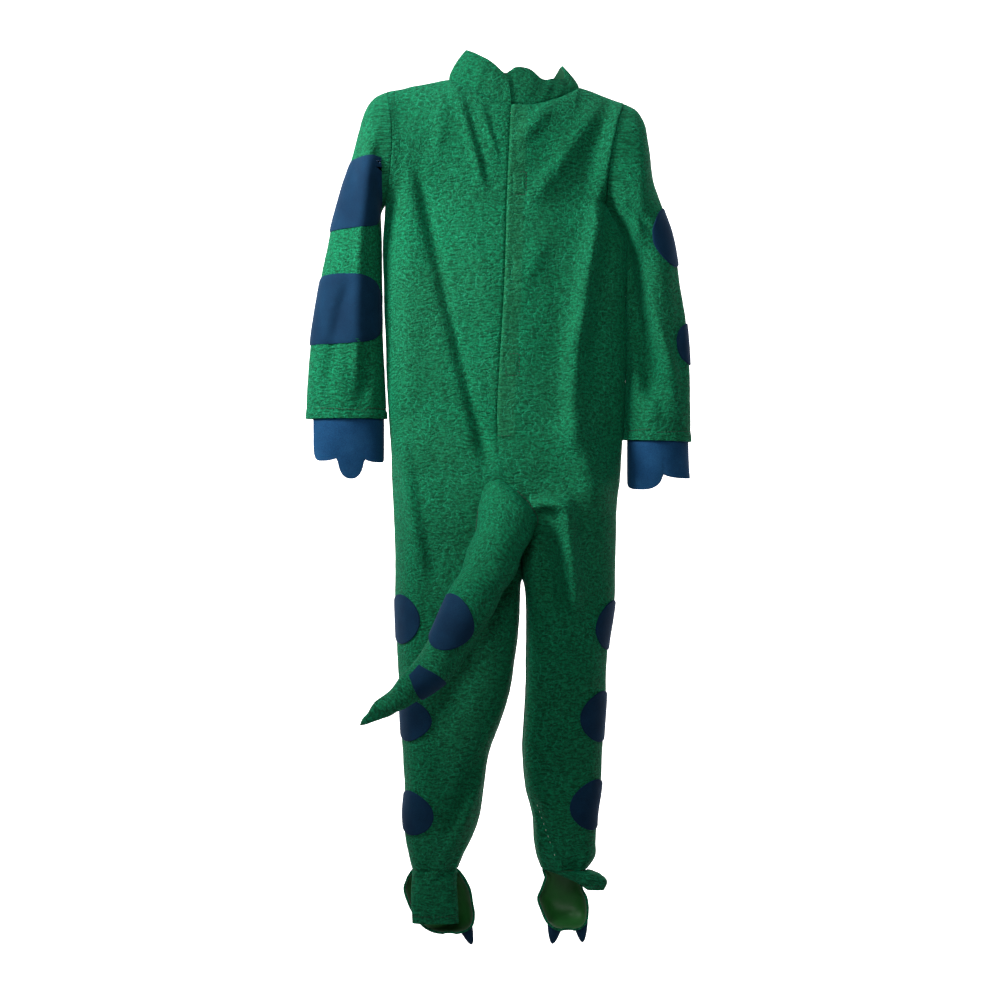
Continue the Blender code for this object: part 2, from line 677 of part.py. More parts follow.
def capped_tube(name, surface, finish):
    """A closed solid from rings, with its two ends filled."""
    rows, columns = surface.shape[:2]
    span = columns - 1
    bm = bmesh.new()
    layer = [[bm.verts.new(Vector(surface[r, c]) * MM) for c in range(span)] for r in range(rows)]
    for r in range(rows - 1):
        for c in range(span):
            for corners in cell_triangles(r, c):
                bm.faces.new([layer[i][j % span] for i, j in corners])
    bm.faces.new(layer[0])
    bm.faces.new(layer[-1])
    bmesh.ops.triangulate(bm, faces=bm.faces)
    outward(bm)
    mesh = bpy.data.meshes.new(name)
    bm.to_mesh(mesh)
    bm.free()
    return object_of(name, mesh, finish)


def backing_cutter(name, surface, normals, depth_y, overrun):
    """A hidden block behind a surface, a seam gap proud of it, for cutting what is sewn there."""
    proud = surface + normals * SEAM_GAP
    proud[:, 0] += np.array([overrun, 0.0, 0.0])
    deep = proud.copy()
    deep[..., 1] = depth_y
    rows, columns = surface.shape[:2]
    bm = bmesh.new()
    layers = [
        [[bm.verts.new(Vector(side[r, c]) * MM) for c in range(columns)] for r in range(rows)]
        for side in (proud, deep)
    ]
    for layer in layers:
        for r in range(rows - 1):
            for c in range(columns - 1):
                for corners in cell_triangles(r, c):
                    bm.faces.new([layer[i][j] for i, j in corners])
    near, far = layers
    for r in (0, rows - 1):
        for c in range(columns - 1):
            bm.faces.new((near[r][c], near[r][c + 1], far[r][c + 1], far[r][c]))
    for c in (0, columns - 1):
        for r in range(rows - 1):
            bm.faces.new((near[r][c], near[r + 1][c], far[r + 1][c], far[r][c]))
    bmesh.ops.triangulate(bm, faces=bm.faces)
    outward(bm)
    mesh = bpy.data.meshes.new(name)
    bm.to_mesh(mesh)
    bm.free()
    cutter = bpy.data.objects.new(name, mesh)
    bpy.context.scene.collection.objects.link(cutter)
    return hidden(cutter)


def hidden(cutter):
    cutter.hide_render = True
    cutter.display_type = "WIRE"
    return cutter


def cut(obj, cutter):
    modifier = obj.modifiers.new("cut_" + cutter.name, "BOOLEAN")
    modifier.operation = "DIFFERENCE"
    modifier.solver = "EXACT"
    modifier.object = cutter


def mitt_surface(side, sleeve, normals):
    """A hand cover: it hangs inside the cuff, and its lower edge is scalloped in lobes."""
    mitt = MITTS[side]
    columns = round((mitt.end_cell - mitt.start_cell) * MITT_COLUMNS_PER_CELL)
    rows = [[] for _ in range(MITT_ROWS + 2)]
    for c in range(columns + 1):
        share = c / columns
        at = (mitt.start_cell + c / MITT_COLUMNS_PER_CELL) % (sleeve.shape[1] - 1)
        i, part = int(at), at - int(at)

        def inside(row):
            outer = sleeve[row, i] * (1 - part) + sleeve[row, i + 1] * part
            normal = normals[row, i] * (1 - part) + normals[row, i + 1] * part
            return outer - normal * (CLOTH + mitt.clearance)

        cuff = inside(-1)
        rows[0].append(cuff + (inside(-2) - cuff) * MITT_HIDDEN_SHARE)
        for r in range(MITT_ROWS + 1):
            rows[r + 1].append(cuff - np.array([0, 0, lobe_drop(mitt, share) * r / MITT_ROWS]))
    return np.array(rows)


def lobe_drop(mitt, share):
    """How far below the cuff the scalloped edge reaches at a share of the width."""
    start, first = 0.0, mitt.start_drop
    for lobe in mitt.lobes:
        last = mitt.end_drop if lobe is mitt.lobes[-1] else mitt.notch_drop
        if share <= lobe.end:
            within = (share - start) / (lobe.end - start)
            round_off = max(0.0, 1 - abs(2 * within - 1) ** LOBE_SQUARENESS) ** 0.5
            base = first + (last - first) * within
            return base + (lobe.drop - base) * round_off
        start, first = lobe.end, last
    return mitt.end_drop


def below_ankle(side, edge, rows, face):
    """A sheet hung from a panel's ankle edge, each lower row of it an arc of its own."""
    turns = columns_of(side)
    found = [edge]
    for foot in rows:
        depth = foot.depth if face == FRONT else foot.sag
        found.append([
            (
                foot.x - side * foot.half_width * power_of(math.cos(math.pi * turn)),
                foot.y + face * depth * power_of(max(0.0, math.sin(math.pi * turn))),
                foot.z,
            )
            for turn in turns
        ])
    return np.array(found)


def claw(row, cutter):
    """A small stuffed claw, pointed at its tip and cut to the toe where it is sewn on."""
    root = np.array((row.x, row.y, row.z), float)
    tip = np.array((row.tip_x, row.tip_y, row.tip_z), float)
    rows = []
    for i in range(CLAW_RINGS + 1):
        share = i / CLAW_RINGS
        radius = row.radius * max(CLAW_TIP_SHARE, math.sqrt(1 - share**2) * (1 - CLAW_TAPER * share))
        centre = root + (tip - root) * share
        angles = [2 * math.pi * k / CLAW_SIDES for k in range(CLAW_SIDES + 1)]
        rows.append([
            centre + radius * np.array((math.cos(a), CLAW_FLATNESS * math.sin(a), 0)) for a in angles
        ])
    cut(capped_tube(row.name, np.array(rows), BLUE_FELT), cutter)


def toe_cutter(side):
    """A hidden solid that fills the shoe cover, a seam gap proud of it."""
    rows = []
    for foot in UPPER[side]:
        angles = [2 * math.pi * k / TOE_SIDES for k in range(TOE_SIDES + 1)]
        rows.append([
            (
                foot.x + (foot.half_width + 2 * SEAM_GAP) * power_of(math.cos(a)),
                foot.y + (foot.depth + 2 * SEAM_GAP) * power_of(math.sin(a)),
                foot.z - (2 * SEAM_GAP if foot is UPPER[side][-1] else 0),
            )
            for a in angles
        ])
    return hidden(capped_tube("toe_cutter_" + side_name(side), np.array(rows), BLUE_FELT))


def side_name(side):
    return "left" if side == LEFT else "right"


def build_body():
    """Panels, sleeves, collar and shoe covers, joined in shape at their seams."""
    panels = {(side, face): body_panel(side, face) for side in (LEFT, RIGHT) for face in (BACK, FRONT)}
    surfaces = {}
    for (side, face), surface in panels.items():
        surfaces[("back_" if face == BACK else "front_") + side_name(side)] = surface
    for side in (LEFT, RIGHT):
        surfaces["sleeve_" + side_name(side)] = sleeve_surface(side)
        front, back = panels[side, FRONT][-1], panels[side, BACK][-1]
        surfaces["foot_upper_" + side_name(side)] = below_ankle(side, front, UPPER[side], FRONT)
        surfaces["heel_flap_" + side_name(side)] = below_ankle(side, back, HEEL[side], BACK)
    surfaces["collar"] = collar_surface(panels)
    turned = (
        "back_right", "front_left", "sleeve_left", "heel_flap_right", "foot_upper_left",
    )
    normals = shared_normals(surfaces, turned)
    for name, surface in surfaces.items():
        finish = LINING if name.startswith("foot") else PLUSH
        wall(name, surface, normals[name], CLOTH, finish, closed=name.startswith("sleeve"))
    return surfaces, normals


def build_underlap(surfaces, normals):
    """The strip sewn to the left back edge, lying behind the right back panel's lap."""
    rows = ARMHOLE_STEPS + TORSO_LEVELS.index(CLOSURE_END_Z) + 1
    strip = slice(0, UNDERLAP_COLUMNS)
    wall(
        "closure_underlap",
        surfaces["back_right"][1:rows, strip],
        normals["back_right"][1:rows, strip],
        FELT,
        PLUSH,
        inset=CLOTH + SEAM_GAP,
    )


def build_spots(surfaces, normals):
    for side in (LEFT, RIGHT):
        name = side_name(side)
        first = ARMHOLE_STEPS + len(TORSO_LEVELS) + len(CROTCH_SHARES)
        hosts = {
            "leg_" + name: [
                (surfaces[part + name][first:], normals[part + name][first:]) for part in ("back_", "front_")
            ],
            "sleeve_" + name: [(surfaces["sleeve_" + name], normals["sleeve_" + name])],
        }
        for row in SPOTS:
            if row.host in hosts:
                spot(row, hosts[row.host], BLUE_FELT)


def build_tail(surfaces, normals):
    """The tail, cut to the shape of the seat where it is sewn on."""
    surface = tail_surface()
    tail = capped_tube("tail", surface, PLUSH)
    first = ARMHOLE_STEPS + TORSO_LEVELS.index(SEAT_TOP_Z)
    last = ARMHOLE_STEPS + len(TORSO_LEVELS) + len(CROTCH_SHARES) + SEAT_LEG_ROWS
    for side in (LEFT, RIGHT):
        name = "back_" + side_name(side)
        cutter = backing_cutter(
            "tail_cutter_" + side_name(side),
            surfaces[name][first:last],
            normals[name][first:last],
            depth_y=SEAT_CUTTER_Y,
            overrun=-side * SEAT_CUTTER_OVERLAP,
        )
        cut(tail, cutter)
    tail_normals = shared_normals({"tail": surface}, ())["tail"]
    middle = surface.mean(axis=1, keepdims=True)
    if ((surface - middle) * tail_normals).sum() < 0:
        tail_normals = -tail_normals
    for row in TAIL_SPOTS:
        spot(row, [(surface, tail_normals)], BLUE_FELT)


def build_mitts_and_claws(surfaces, normals):
    for side in (LEFT, RIGHT):
        name = side_name(side)
        mitt = mitt_surface(side, surfaces["sleeve_" + name], normals["sleeve_" + name])
        wall("mitt_" + name, mitt, outward_normals(mitt), FELT, BLUE_FELT)
        cutter = toe_cutter(side)
        for row in CLAWS:
            if row.foot == side:
                claw(row, cutter)


def outward_normals(surface):
    """Unit normals of a single sheet that face away from its middle."""
    found = shared_normals({"sheet": surface}, ())["sheet"]
    middle = surface.mean(axis=(0, 1))
    return found if ((surface - middle) * found).sum() > 0 else -found


def main():
    for obj in list(bpy.data.objects):
        bpy.data.objects.remove(obj)
    surfaces, normals = build_body()
    build_underlap(surfaces, normals)
    build_spots(surfaces, normals)
    build_tail(surfaces, normals)
    build_mitts_and_claws(surfaces, normals)


main()
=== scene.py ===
"""Looks for the hanging dinosaur costume: embossed plush, felt spots, stitching, stuffed tail and claws.

The suit's forms are those of its solids, in millimetres, drawn out at a finer pitch. The collar's edge has
more points and the cloth more folds than the solids have, and the spots lie a few millimetres off theirs.
"""

import math
from collections import namedtuple

import bpy
import numpy as np
from mathutils import Matrix, Vector
from mathutils.bvhtree import BVHTree


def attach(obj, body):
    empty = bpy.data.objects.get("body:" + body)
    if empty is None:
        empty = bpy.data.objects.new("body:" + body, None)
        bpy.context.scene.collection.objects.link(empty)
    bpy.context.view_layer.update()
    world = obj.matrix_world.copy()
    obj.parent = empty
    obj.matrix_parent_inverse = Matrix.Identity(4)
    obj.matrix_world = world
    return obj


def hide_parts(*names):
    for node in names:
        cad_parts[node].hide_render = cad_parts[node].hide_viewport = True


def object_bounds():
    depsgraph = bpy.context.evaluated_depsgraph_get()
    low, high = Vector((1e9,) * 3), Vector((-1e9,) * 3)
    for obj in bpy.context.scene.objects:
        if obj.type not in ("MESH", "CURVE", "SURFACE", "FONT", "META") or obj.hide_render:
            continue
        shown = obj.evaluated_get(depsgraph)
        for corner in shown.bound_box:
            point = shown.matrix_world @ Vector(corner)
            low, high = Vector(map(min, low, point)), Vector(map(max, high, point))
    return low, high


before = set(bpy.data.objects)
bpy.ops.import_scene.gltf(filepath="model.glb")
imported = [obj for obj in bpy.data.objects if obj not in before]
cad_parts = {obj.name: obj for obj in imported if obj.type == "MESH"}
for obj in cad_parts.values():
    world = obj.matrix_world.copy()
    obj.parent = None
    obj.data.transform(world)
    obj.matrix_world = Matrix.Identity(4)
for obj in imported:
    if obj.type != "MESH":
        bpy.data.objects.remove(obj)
CAD_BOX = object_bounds()

MM = 0.001
SQUARENESS = 2.3
UNDERARM_Z = -158.0
CROTCH_TOP_Z = -510.0
CROTCH_Z = -585.0
ANKLE_Z = -1019.0
CLOSURE_END_Z = -459.0
NECK_CENTRE_X = -1.5
SHOULDER_ROUNDING = 70.0
ARMHOLE_DEPTH = 44.0
ARMHOLE_PULL = 5
PRESSED_INSEAM = 2.2
ANKLE_WAVES = 3
ANKLE_WAVE_HEIGHT = 2.5
ANKLE_WAVE_REACH = 60.0
CROTCH_EASE = 16.0
CLOTH = 2.0
PILE = 1.0
LAP_RISE = 2.4
LAP_WIDTH = 22.0
LAP_TROUGH = 2.0
LAP_TROUGH_WIDTH = 1.8
LAP_DULLNESS = 0.5
COLLAR_LIP = 2.0
UNDERLAP_GAP = 0.3

# Small relief of the plush: sewn edges, tabs, cuff hems, the underarm's pile and the tail's seam
SEAM_DEPTH = 1.3
SEAM_WIDTH = 3.2
SEAM_PITCH = 2.2
TAB_RISE = 0.7
TAB_GROOVE = 0.9
TAB_GROOVE_WIDTH = 1.4
CUFF_RISE = 0.7
CUFF_GROOVE = 1.1
CUFF_GROOVE_WIDTH = 1.6
ARMHOLE_PILE = 2.8
UNDERARM_PILE_WIDTH = 9.0
TAIL_SEAM_DEPTH = 1.4
TAIL_SEAM_WIDTH = 2.6
TAIL_DENTS = 1.6

# How finely the cloth is divided; the inner face takes every INNER_STEP-th point
INNER_STEP = 2
PANEL_COLUMNS = 96
YOKE_ROWS = 96
TORSO_ROWS = 184
CROTCH_ROWS = 12
LEG_ROWS = 196
SLEEVE_ROWS = 184
COLLAR_ROWS = 20
UPPER_ROWS = 48
HEEL_ROWS = 36
UNDERLAP_START = 4
UNDERLAP_COLUMNS = 17
CLAW_ROWS = 20
CLAW_COLUMNS = 32
MITT_ROWS = 32
MITT_COLUMNS = 96

# The embossed reptile-skin net, in millimetres
CELL_WIDTH = 11.5
CELL_HEIGHT = 8.6
NARROWING_REACH = 190.0
NARROWING = 0.3
COLLAR_NET_START = 150
FOOT_NET_START = 40


def table(kind, *rows):
    """Named rows of one kind."""
    return tuple(kind(*row) for row in rows)


LEFT, RIGHT = -1, 1
BACK, FRONT = -1, 1
SIDE_WORD = {LEFT: "left", RIGHT: "right"}
FACE_WORD = {BACK: "back", FRONT: "front"}
UNDERARM_PILE = {LEFT: 0.8, RIGHT: 2.0}

Section = namedtuple("Section", "z left left_inner right_inner right back front")
BODY = table(
    Section,
    (-158, -165.1, -7.0, -7.0, 122.2, 50, 48),
    (-203, -167.7, -8.0, -8.0, 145.6, 55, 52),
    (-281, -166.4, -11.0, -11.0, 148.2, 58, 55),
    (-359, -163.8, -15.6, -15.6, 148.2, 58, 57),
    (-437, -159.9, -19.0, -19.0, 145.6, 60, 58),
    (-475, -157.5, -17.0, -17.0, 143.0, 62, 58),
    (-512, -156.0, -8.0, -8.0, 140.4, 64, 56),
    (-560, -153.6, 8.0, 8.0, 135.6, 62, 55),
    (-585, -152.8, 12.0, 12.0, 135.2, 60, 54),
    (-630, -152.0, 12.2, 13.2, 134.8, 57, 52),
    (-671, -151.5, 10.5, 17.5, 133.3, 55, 50),
    (-731, -149.5, 6.3, 17.8, 124.8, 50, 47),
    (-803, -145.6, -6.0, 16.0, 121.6, 46, 44),
    (-876, -141.7, -31.0, 13.4, 117.0, 42, 41),
    (-913, -139.1, -36.4, 16.9, 115.7, 40, 39),
    (-949, -141.7, -41.6, 26.0, 110.5, 37, 36),
    (-985, -137.8, -54.6, 28.6, 109.2, 31, 31),
    (-1004, -133.9, -63.7, 32.5, 108.0, 27, 27),
    (-1019, -130.0, -70.2, 37.7, 98.0, 23, 23),
)
Yoke = namedtuple("Yoke", "neck_x neck_z tip_x tip_z underarm_x bow neck_power")
YOKE = {
    LEFT: Yoke(-83.2, 5.2, -162.5, -10.4, -165.1, 10.0, 1.2),
    RIGHT: Yoke(88.4, -5.2, 145.6, -26.0, 122.2, -6.0, 2.4),
}
NeckEdge = namedtuple("NeckEdge", "centre_z depth")
NECK = {BACK: NeckEdge(-34.0, 38.0), FRONT: NeckEdge(-30.0, 42.0)}

Ring = namedtuple("Ring", "outer_x outer_z inner_x inner_z depth")
SLEEVE = {
    LEFT: table(
        Ring,
        (-162.5, -10.4, -165.1, -158.0, 44),
        (-179.4, -19.5, -170.3, -168.0, 46),
        (-192.4, -39.0, -170.6, -180.0, 47),
        (-200.2, -66.3, -170.2, -193.0, 47),
        (-209.3, -102.7, -169.9, -210.0, 46),
        (-222.3, -141.7, -169.4, -236.0, 45),
        (-236.6, -196.3, -168.6, -270.0, 44),
        (-252.2, -275.6, -167.2, -325.0, 43),
        (-262.6, -348.4, -165.4, -380.0, 42),
        (-267.8, -435.5, -162.4, -435.5, 41),
    ),
    RIGHT: table(
        Ring,
        (145.6, -26.0, 122.2, -158.0, 44),
        (161.2, -35.1, 134.6, -176.0, 46),
        (172.9, -54.6, 145.6, -196.0, 47),
        (178.1, -85.8, 149.4, -214.0, 47),
        (183.3, -124.8, 149.8, -234.0, 46),
        (196.3, -163.8, 150.0, -262.0, 45),
        (209.3, -202.8, 150.0, -292.0, 44),
        (219.7, -267.8, 149.6, -340.0, 43),
        (229.5, -342.8, 148.8, -395.0, 42),
        (232.7, -465.4, 145.6, -463.0, 41),
    ),
}
CollarEdge = namedtuple("CollarEdge", "share x y z")
COLLAR = table(
    CollarEdge,
    (0.00, 2.0, -29.0, 2.0),
    (0.04, -10.0, -31.5, 9.0),
    (0.08, -22.0, -32.0, 20.0),
    (0.16, -38.0, -27.0, 31.0),
    (0.25, -60.0, -3.0, 43.0),
    (0.33, -42.0, 24.0, 30.0),
    (0.42, -20.0, 36.0, 22.0),
    (0.50, 4.0, 39.0, 20.5),
    (0.58, 28.0, 36.0, 14.0),
    (0.64, 43.0, 29.0, 1.0),
    (0.70, 54.0, 19.0, 10.0),
    (0.75, 65.0, 4.0, 24.0),
    (0.81, 68.0, -12.0, 6.0),
    (0.88, 52.0, -25.0, 3.0),
    (0.93, 38.0, -31.0, 2.0),
    (0.97, 18.0, -36.0, 15.0),
    (0.99, 2.0, -38.0, 14.5),
    (1.00, -6.0, -38.5, 8.0),
)
COLLAR_SWELL = 3.0

# Ridges (height over 0) and troughs of the hanging cloth; bow is to the left of the run, going down
Fold = namedtuple("Fold", "x0 z0 x1 z1 bow width height")
FOLD_FADE = 42.0
BACK_FOLDS = table(
    Fold,
    (-140, -40, -140, -440, 0, 27, 9),
    (-136, -440, -122, -960, 0, 24, 8),
    (-124, -105, -28, -508, 2, 9, -8),
    (-106, -120, -12, -500, 2, 22, -4),
    (-76, 0, -34, -152, -2, 7, 5),
    (-64, -20, -28, -146, -2, 6, -3),
    (-46, -20, -12, -118, 0, 6, 4),
    (-34, -30, -8, -128, 0, 5, -2),
    (-86, 0, -98, -110, 0, 9, 4),
    (52, -30, 4, -88, 0, 11, 7),
    (124, -18, 20, -168, 0, 12, 6),
    (122, -50, 60, -190, 0, 16, -2),
    (48, -195, 8, -275, 0, 12, 3),
    (152, -6, 85, -350, 7, 13, 17),
    (84, -305, 76, -485, 0, 14, 12),
    (126, -190, 108, -420, 4, 14, -4),
    (62, -190, 52, -400, 0, 20, -2),
    (78, -425, 118, -560, 4, 24, 17),
    (22, -550, 70, -553, -5, 8, 16),
    (66, -528, 84, -700, 0, 12, 20),
    (40, -570, 52, -690, 0, 12, -15),
    (-148, -440, -112, -640, 2, 9, 5),
    (-130, -450, -96, -660, 2, 9, -3),
    (-38, -898, -80, -998, 0, 8, 6),
    (-27, -850, -90, -985, 2, 10, -7),
    (20, -912, 56, -1000, 0, 6, -6),
    (30, -853, 68, -838, 0, 12, -5),
    (86, -752, 30, -846, 0, 13, 5),
    (-78, -690, -60, -760, 0, 12, 4),
    (-106, -862, -52, -742, 0, 15, -4),
    (64, -700, 104, -800, 0, 14, 5),
    (100, -742, 22, -822, 0, 14, -6),
)
FRONT_FOLDS = table(
    Fold,
    (-95, -60, -30, -330, 10, 15, -9),
    (92, -70, 38, -360, -10, 15, -9),
    (-70, -6, -20, -130, 6, 8, 5),
    (74, -14, 26, -140, -6, 8, 5),
    (-110, -330, -40, -520, 8, 18, -7),
    (105, -380, 40, -540, -8, 18, 6),
    (-100, -640, -75, -900, 8, 14, -6),
    (85, -660, 62, -900, -6, 14, -6),
    (-60, -880, -90, -1000, 0, 9, 5),
    (40, -900, 66, -1000, 0, 9, 5),
)
SLEEVE_FOLDS = {
    LEFT: table(
        Fold,
        (-176, -60, -196, -400, 10, 9, 6),
        (-206, -250, -238, -420, 6, 9, -5),
        (-186, -30, -206, -150, 4, 8, -4),
        (-182, -330, -196, -432, 0, 9, -5),
    ),
    RIGHT: table(
        Fold,
        (157, -196, 192, -430, 8, 15, -26),
        (160, -168, 222, -402, 14, 8, 6),
        (146, -150, 176, -196, 0, 7, -8),
        (136, -150, 170, -176, 0, 8, 7),
        (214, -220, 224, -440, 4, 8, -4),
        (196, -360, 176, -450, 0, 10, 6),
    ),
}

# Rings of the tail: centre, half sizes, and how far the ring's right end is tipped down
TailPoint = namedtuple("TailPoint", "x y z half_width half_depth tip_degrees")
TAIL = table(
    TailPoint,
    (-1.3, -46, -535.6, 46, 17, 41),
    (-6, -60, -556, 42, 32, 37),
    (-14, -74, -587, 36, 37, 31),
    (-32, -92, -632, 32, 34, 28),
    (-54, -103, -673, 30.5, 31, 28),
    (-92, -110, -743, 25.5, 26, 34),
    (-133, -111, -782, 18, 18, 46),
    (-166, -109, -805, 11, 11, 55),
    (-192, -107, -824, 4, 4, 54),
)
TAIL_ROWS = 168
TAIL_COLUMNS = 96

Spot = namedtuple("Spot", "name host x y z facing_x facing_z facing_y half_width half_height roll")
SPOTS = table(
    Spot,
    ("sleeve_right_spot_upper", "sleeve_right", 208, -20, -202, 0.85, 0, -0.52, 34, 38, 0),
    ("sleeve_right_spot_lower", "sleeve_right", 229, -10, -339, 0.94, 0, -0.34, 26, 27, 0),
    ("leg_left_spot_upper", "leg_left", -135, -20, -694, -0.55, 0, -0.84, 32, 32, 0),
    ("leg_left_spot_middle", "leg_left", -128, -22, -823, -0.55, 0, -0.84, 33, 28, 0),
    ("leg_left_spot_lower", "leg_left", -127, -22, -944, -0.55, 0, -0.84, 31, 29, 0),
    ("leg_right_spot_upper", "leg_right", 127, -20, -702, 0.88, 0, -0.47, 31, 32, 0),
    ("leg_right_spot_middle", "leg_right", 116, -24, -820, 0.78, 0, -0.63, 33, 33, 0),
    ("leg_right_spot_lower", "leg_right", 106, -22, -934, 0.77, 0, -0.64, 33, 33, 0),
    ("tail_spot_upper", "tail", -83, -131, -693, -0.45, 0, -0.89, 31, 35, 0),
    ("tail_spot_lower", "tail", -100, -126, -778, 0.42, -0.52, -0.74, 30, 19, 42),
)
# The two wide spots wrap round the left sleeve: turns are from its outer edge round the back
Band = namedtuple("Band", "name turn half_turn z half_height tilt arch squareness")
BANDS = table(
    Band,
    ("sleeve_left_spot_upper", 1.15, 1.60, -147, 45, 4, 2, 5.0),
    ("sleeve_left_spot_lower", 1.05, 1.78, -299, 41, 2, 8, 3.6),
)
BAND_START = 0.075
SPOT_RINGS = 16
SPOT_SPOKES = 72
SPOT_LIFT = 0.7
SPOT_CLOTH = 1.2

Lobe = namedtuple("Lobe", "end drop")
Mitt = namedtuple("Mitt", "start_cell end_cell lobes notch_drop start_drop end_drop clearance")
MITTS = {
    LEFT: Mitt(1.25, 6.75, (Lobe(0.33, 55), Lobe(0.63, 78), Lobe(1.0, 57)), 50, 33, 45, 1.2),
    RIGHT: Mitt(-0.5, 6.75, (Lobe(0.51, 48), Lobe(1.0, 64)), 42, 36, 47, 1.4),
}
LOBE_SQUARENESS = 2.5
RING_CELLS = 14
MITT_HIDDEN = 8.0
FELT = 1.6

FootRow = namedtuple("FootRow", "z x half_width depth y")
UPPER = {
    LEFT: table(
        FootRow,
        (-1032, -99.5, 38, 27, 3),
        (-1047, -98.0, 44, 32, 5),
        (-1066, -93.0, 43, 34, 5),
        (-1082, -88.0, 40, 33, 2),
        (-1094, -84.0, 33, 29, -4),
        (-1101, -82.0, 22, 20, -8),
        (-1104, -81.0, 8, 8, -10),
    ),
    RIGHT: table(
        FootRow,
        (-1032, 66.5, 24, 24, 2),
        (-1047, 65.0, 28, 27, 4),
        (-1060, 65.5, 33, 29, 5),
        (-1076, 69.0, 31, 29, 3),
        (-1089, 71.0, 27, 26, -2),
        (-1097, 72.0, 19, 18, -6),
        (-1100, 72.0, 8, 8, -8),
    ),
}
HEEL = {
    LEFT: table(
        FootRow,
        (-1035, -101.0, 29, 19, -5),
        (-1055, -101.0, 30, 15, -11),
        (-1075, -100.0, 30, 12, -15),
        (-1088, -99.5, 30, 10, -16),
    ),
    RIGHT: table(
        FootRow,
        (-1025, 86.0, 28, 20, -8),
        (-1031, 97.0, 25, 16, -13),
        (-1037, 104.0, 19, 11, -15),
        (-1045, 108.0, 11, 7, -14),
    ),
}
Claw = namedtuple("Claw", "name foot x y z tip_x tip_y tip_z radius")
CLAWS = table(
    Claw,
    ("claw_left_outer", LEFT, -95, 22, -1078, -99, 40, -1097, 11),
    ("claw_left_inner", LEFT, -66, 6, -1083, -53, 12, -1121, 12),
    ("claw_right_inner", RIGHT, 58, 6, -1083, 53, 12, -1120, 12),
    ("claw_right_outer", RIGHT, 88, 6, -1083, 92, 12, -1118, 11),
)

# Stitched tabs of the closure: corner places on the back, in millimetres
Tab = namedtuple("Tab", "left top width height")
TABS = table(
    Tab,
    (1.0, -121.0, 17.0, 29.0),
    (0.0, -233.0, 16.0, 30.0),
    (-8.0, -354.0, 17.0, 28.0),
)
STITCH = 3.0
STITCH_GAP = 1.3
THREAD_RADIUS = 0.6
CUFF_HEM = 12.0
CLOSURE_END_STITCHES = ((-19, CLOSURE_END_Z), (1, CLOSURE_END_Z))
ANKLE_THREADS = ((27, -918), (56, -1002))

# The stage, in metres; a light's spread is in degrees
BACKDROP_DEPTH = 3.7
BACKDROP_WIDTH = 6.0
BACKDROP_BEND = 0.8
BACKDROP_HEIGHT = 4.5
BEND_STEPS = 16
Light = namedtuple("Light", "name place aim size power spread")
LIGHTS = table(
    Light,
    ("key", (-1.00, -0.58, 0.24), (-0.02, 0, -0.32), 0.32, 4.4, 66),
    ("fill", (-0.2, -3.0, 0.9), (-0.02, 0, -0.10), 1.3, 4.0, 38),
    ("backdrop", (0.0, 0.9, 1.6), (0, 2.2, -0.4), 2.4, 40, 160),
)
SENSOR_WIDTH = 36.0
CAMERA_PLACE = (-0.0156, -3.2, -0.5408)
PICTURE_WIDTH = 1.3


def curve(rows, column, key, at):
    """The column's value at key, on a Catmull-Rom curve through the table's rows."""
    keys = np.array([getattr(row, key) for row in rows], float)
    values = np.array([getattr(row, column) for row in rows], float)
    if keys[0] > keys[-1]:
        keys, values = keys[::-1], values[::-1]
    slopes = np.gradient(values, keys)
    at = np.clip(at, keys[0], keys[-1])
    i = np.clip(np.searchsorted(keys, at, side="right") - 1, 0, len(keys) - 2)
    span = keys[i + 1] - keys[i]
    t = (at - keys[i]) / span
    return (
        (2 * t**3 - 3 * t**2 + 1) * values[i]
        + (t**3 - 2 * t**2 + t) * span * slopes[i]
        + (3 * t**2 - 2 * t**3) * values[i + 1]
        + (t**3 - t**2) * span * slopes[i + 1]
    )


def keyed(rows):
    """The same table with its row number as a column to read it by."""
    kind = namedtuple("Keyed", ("at", *rows[0]._fields))
    return [kind(i, *row) for i, row in enumerate(rows)]


def smoothstep(low, high, value):
    t = np.clip((value - low) / (high - low), 0, 1)
    return t * t * (3 - 2 * t)


def fold_height(folds, x, z):
    """Sum of the soft ridges and troughs at points of the body's broad face."""
    total = np.zeros_like(x)
    for fold in folds:
        run = np.array([fold.x1 - fold.x0, fold.z1 - fold.z0], float)
        length = np.linalg.norm(run)
        along = run / length
        dx, dz = x - fold.x0, z - fold.z0
        share = (dx * along[0] + dz * along[1]) / length
        inside = np.clip(share, 0, 1)
        across = dx * along[1] - dz * along[0]
        across = across + fold.bow * 4 * inside * (1 - inside) * -1
        fade = min(FOLD_FADE, 0.4 * length)
        ends = smoothstep(-8, fade, share * length) * smoothstep(-8, fade, (1 - share) * length)
        total = total + fold.height * ends * np.exp(-((across / fold.width) ** 2))
    return total


def power_of(value):
    return np.sign(value) * np.abs(value) ** (2 / SQUARENESS)


def neck_share(side):
    yoke = YOKE[side]
    return (yoke.neck_x - NECK_CENTRE_X) / (yoke.tip_x - NECK_CENTRE_X)


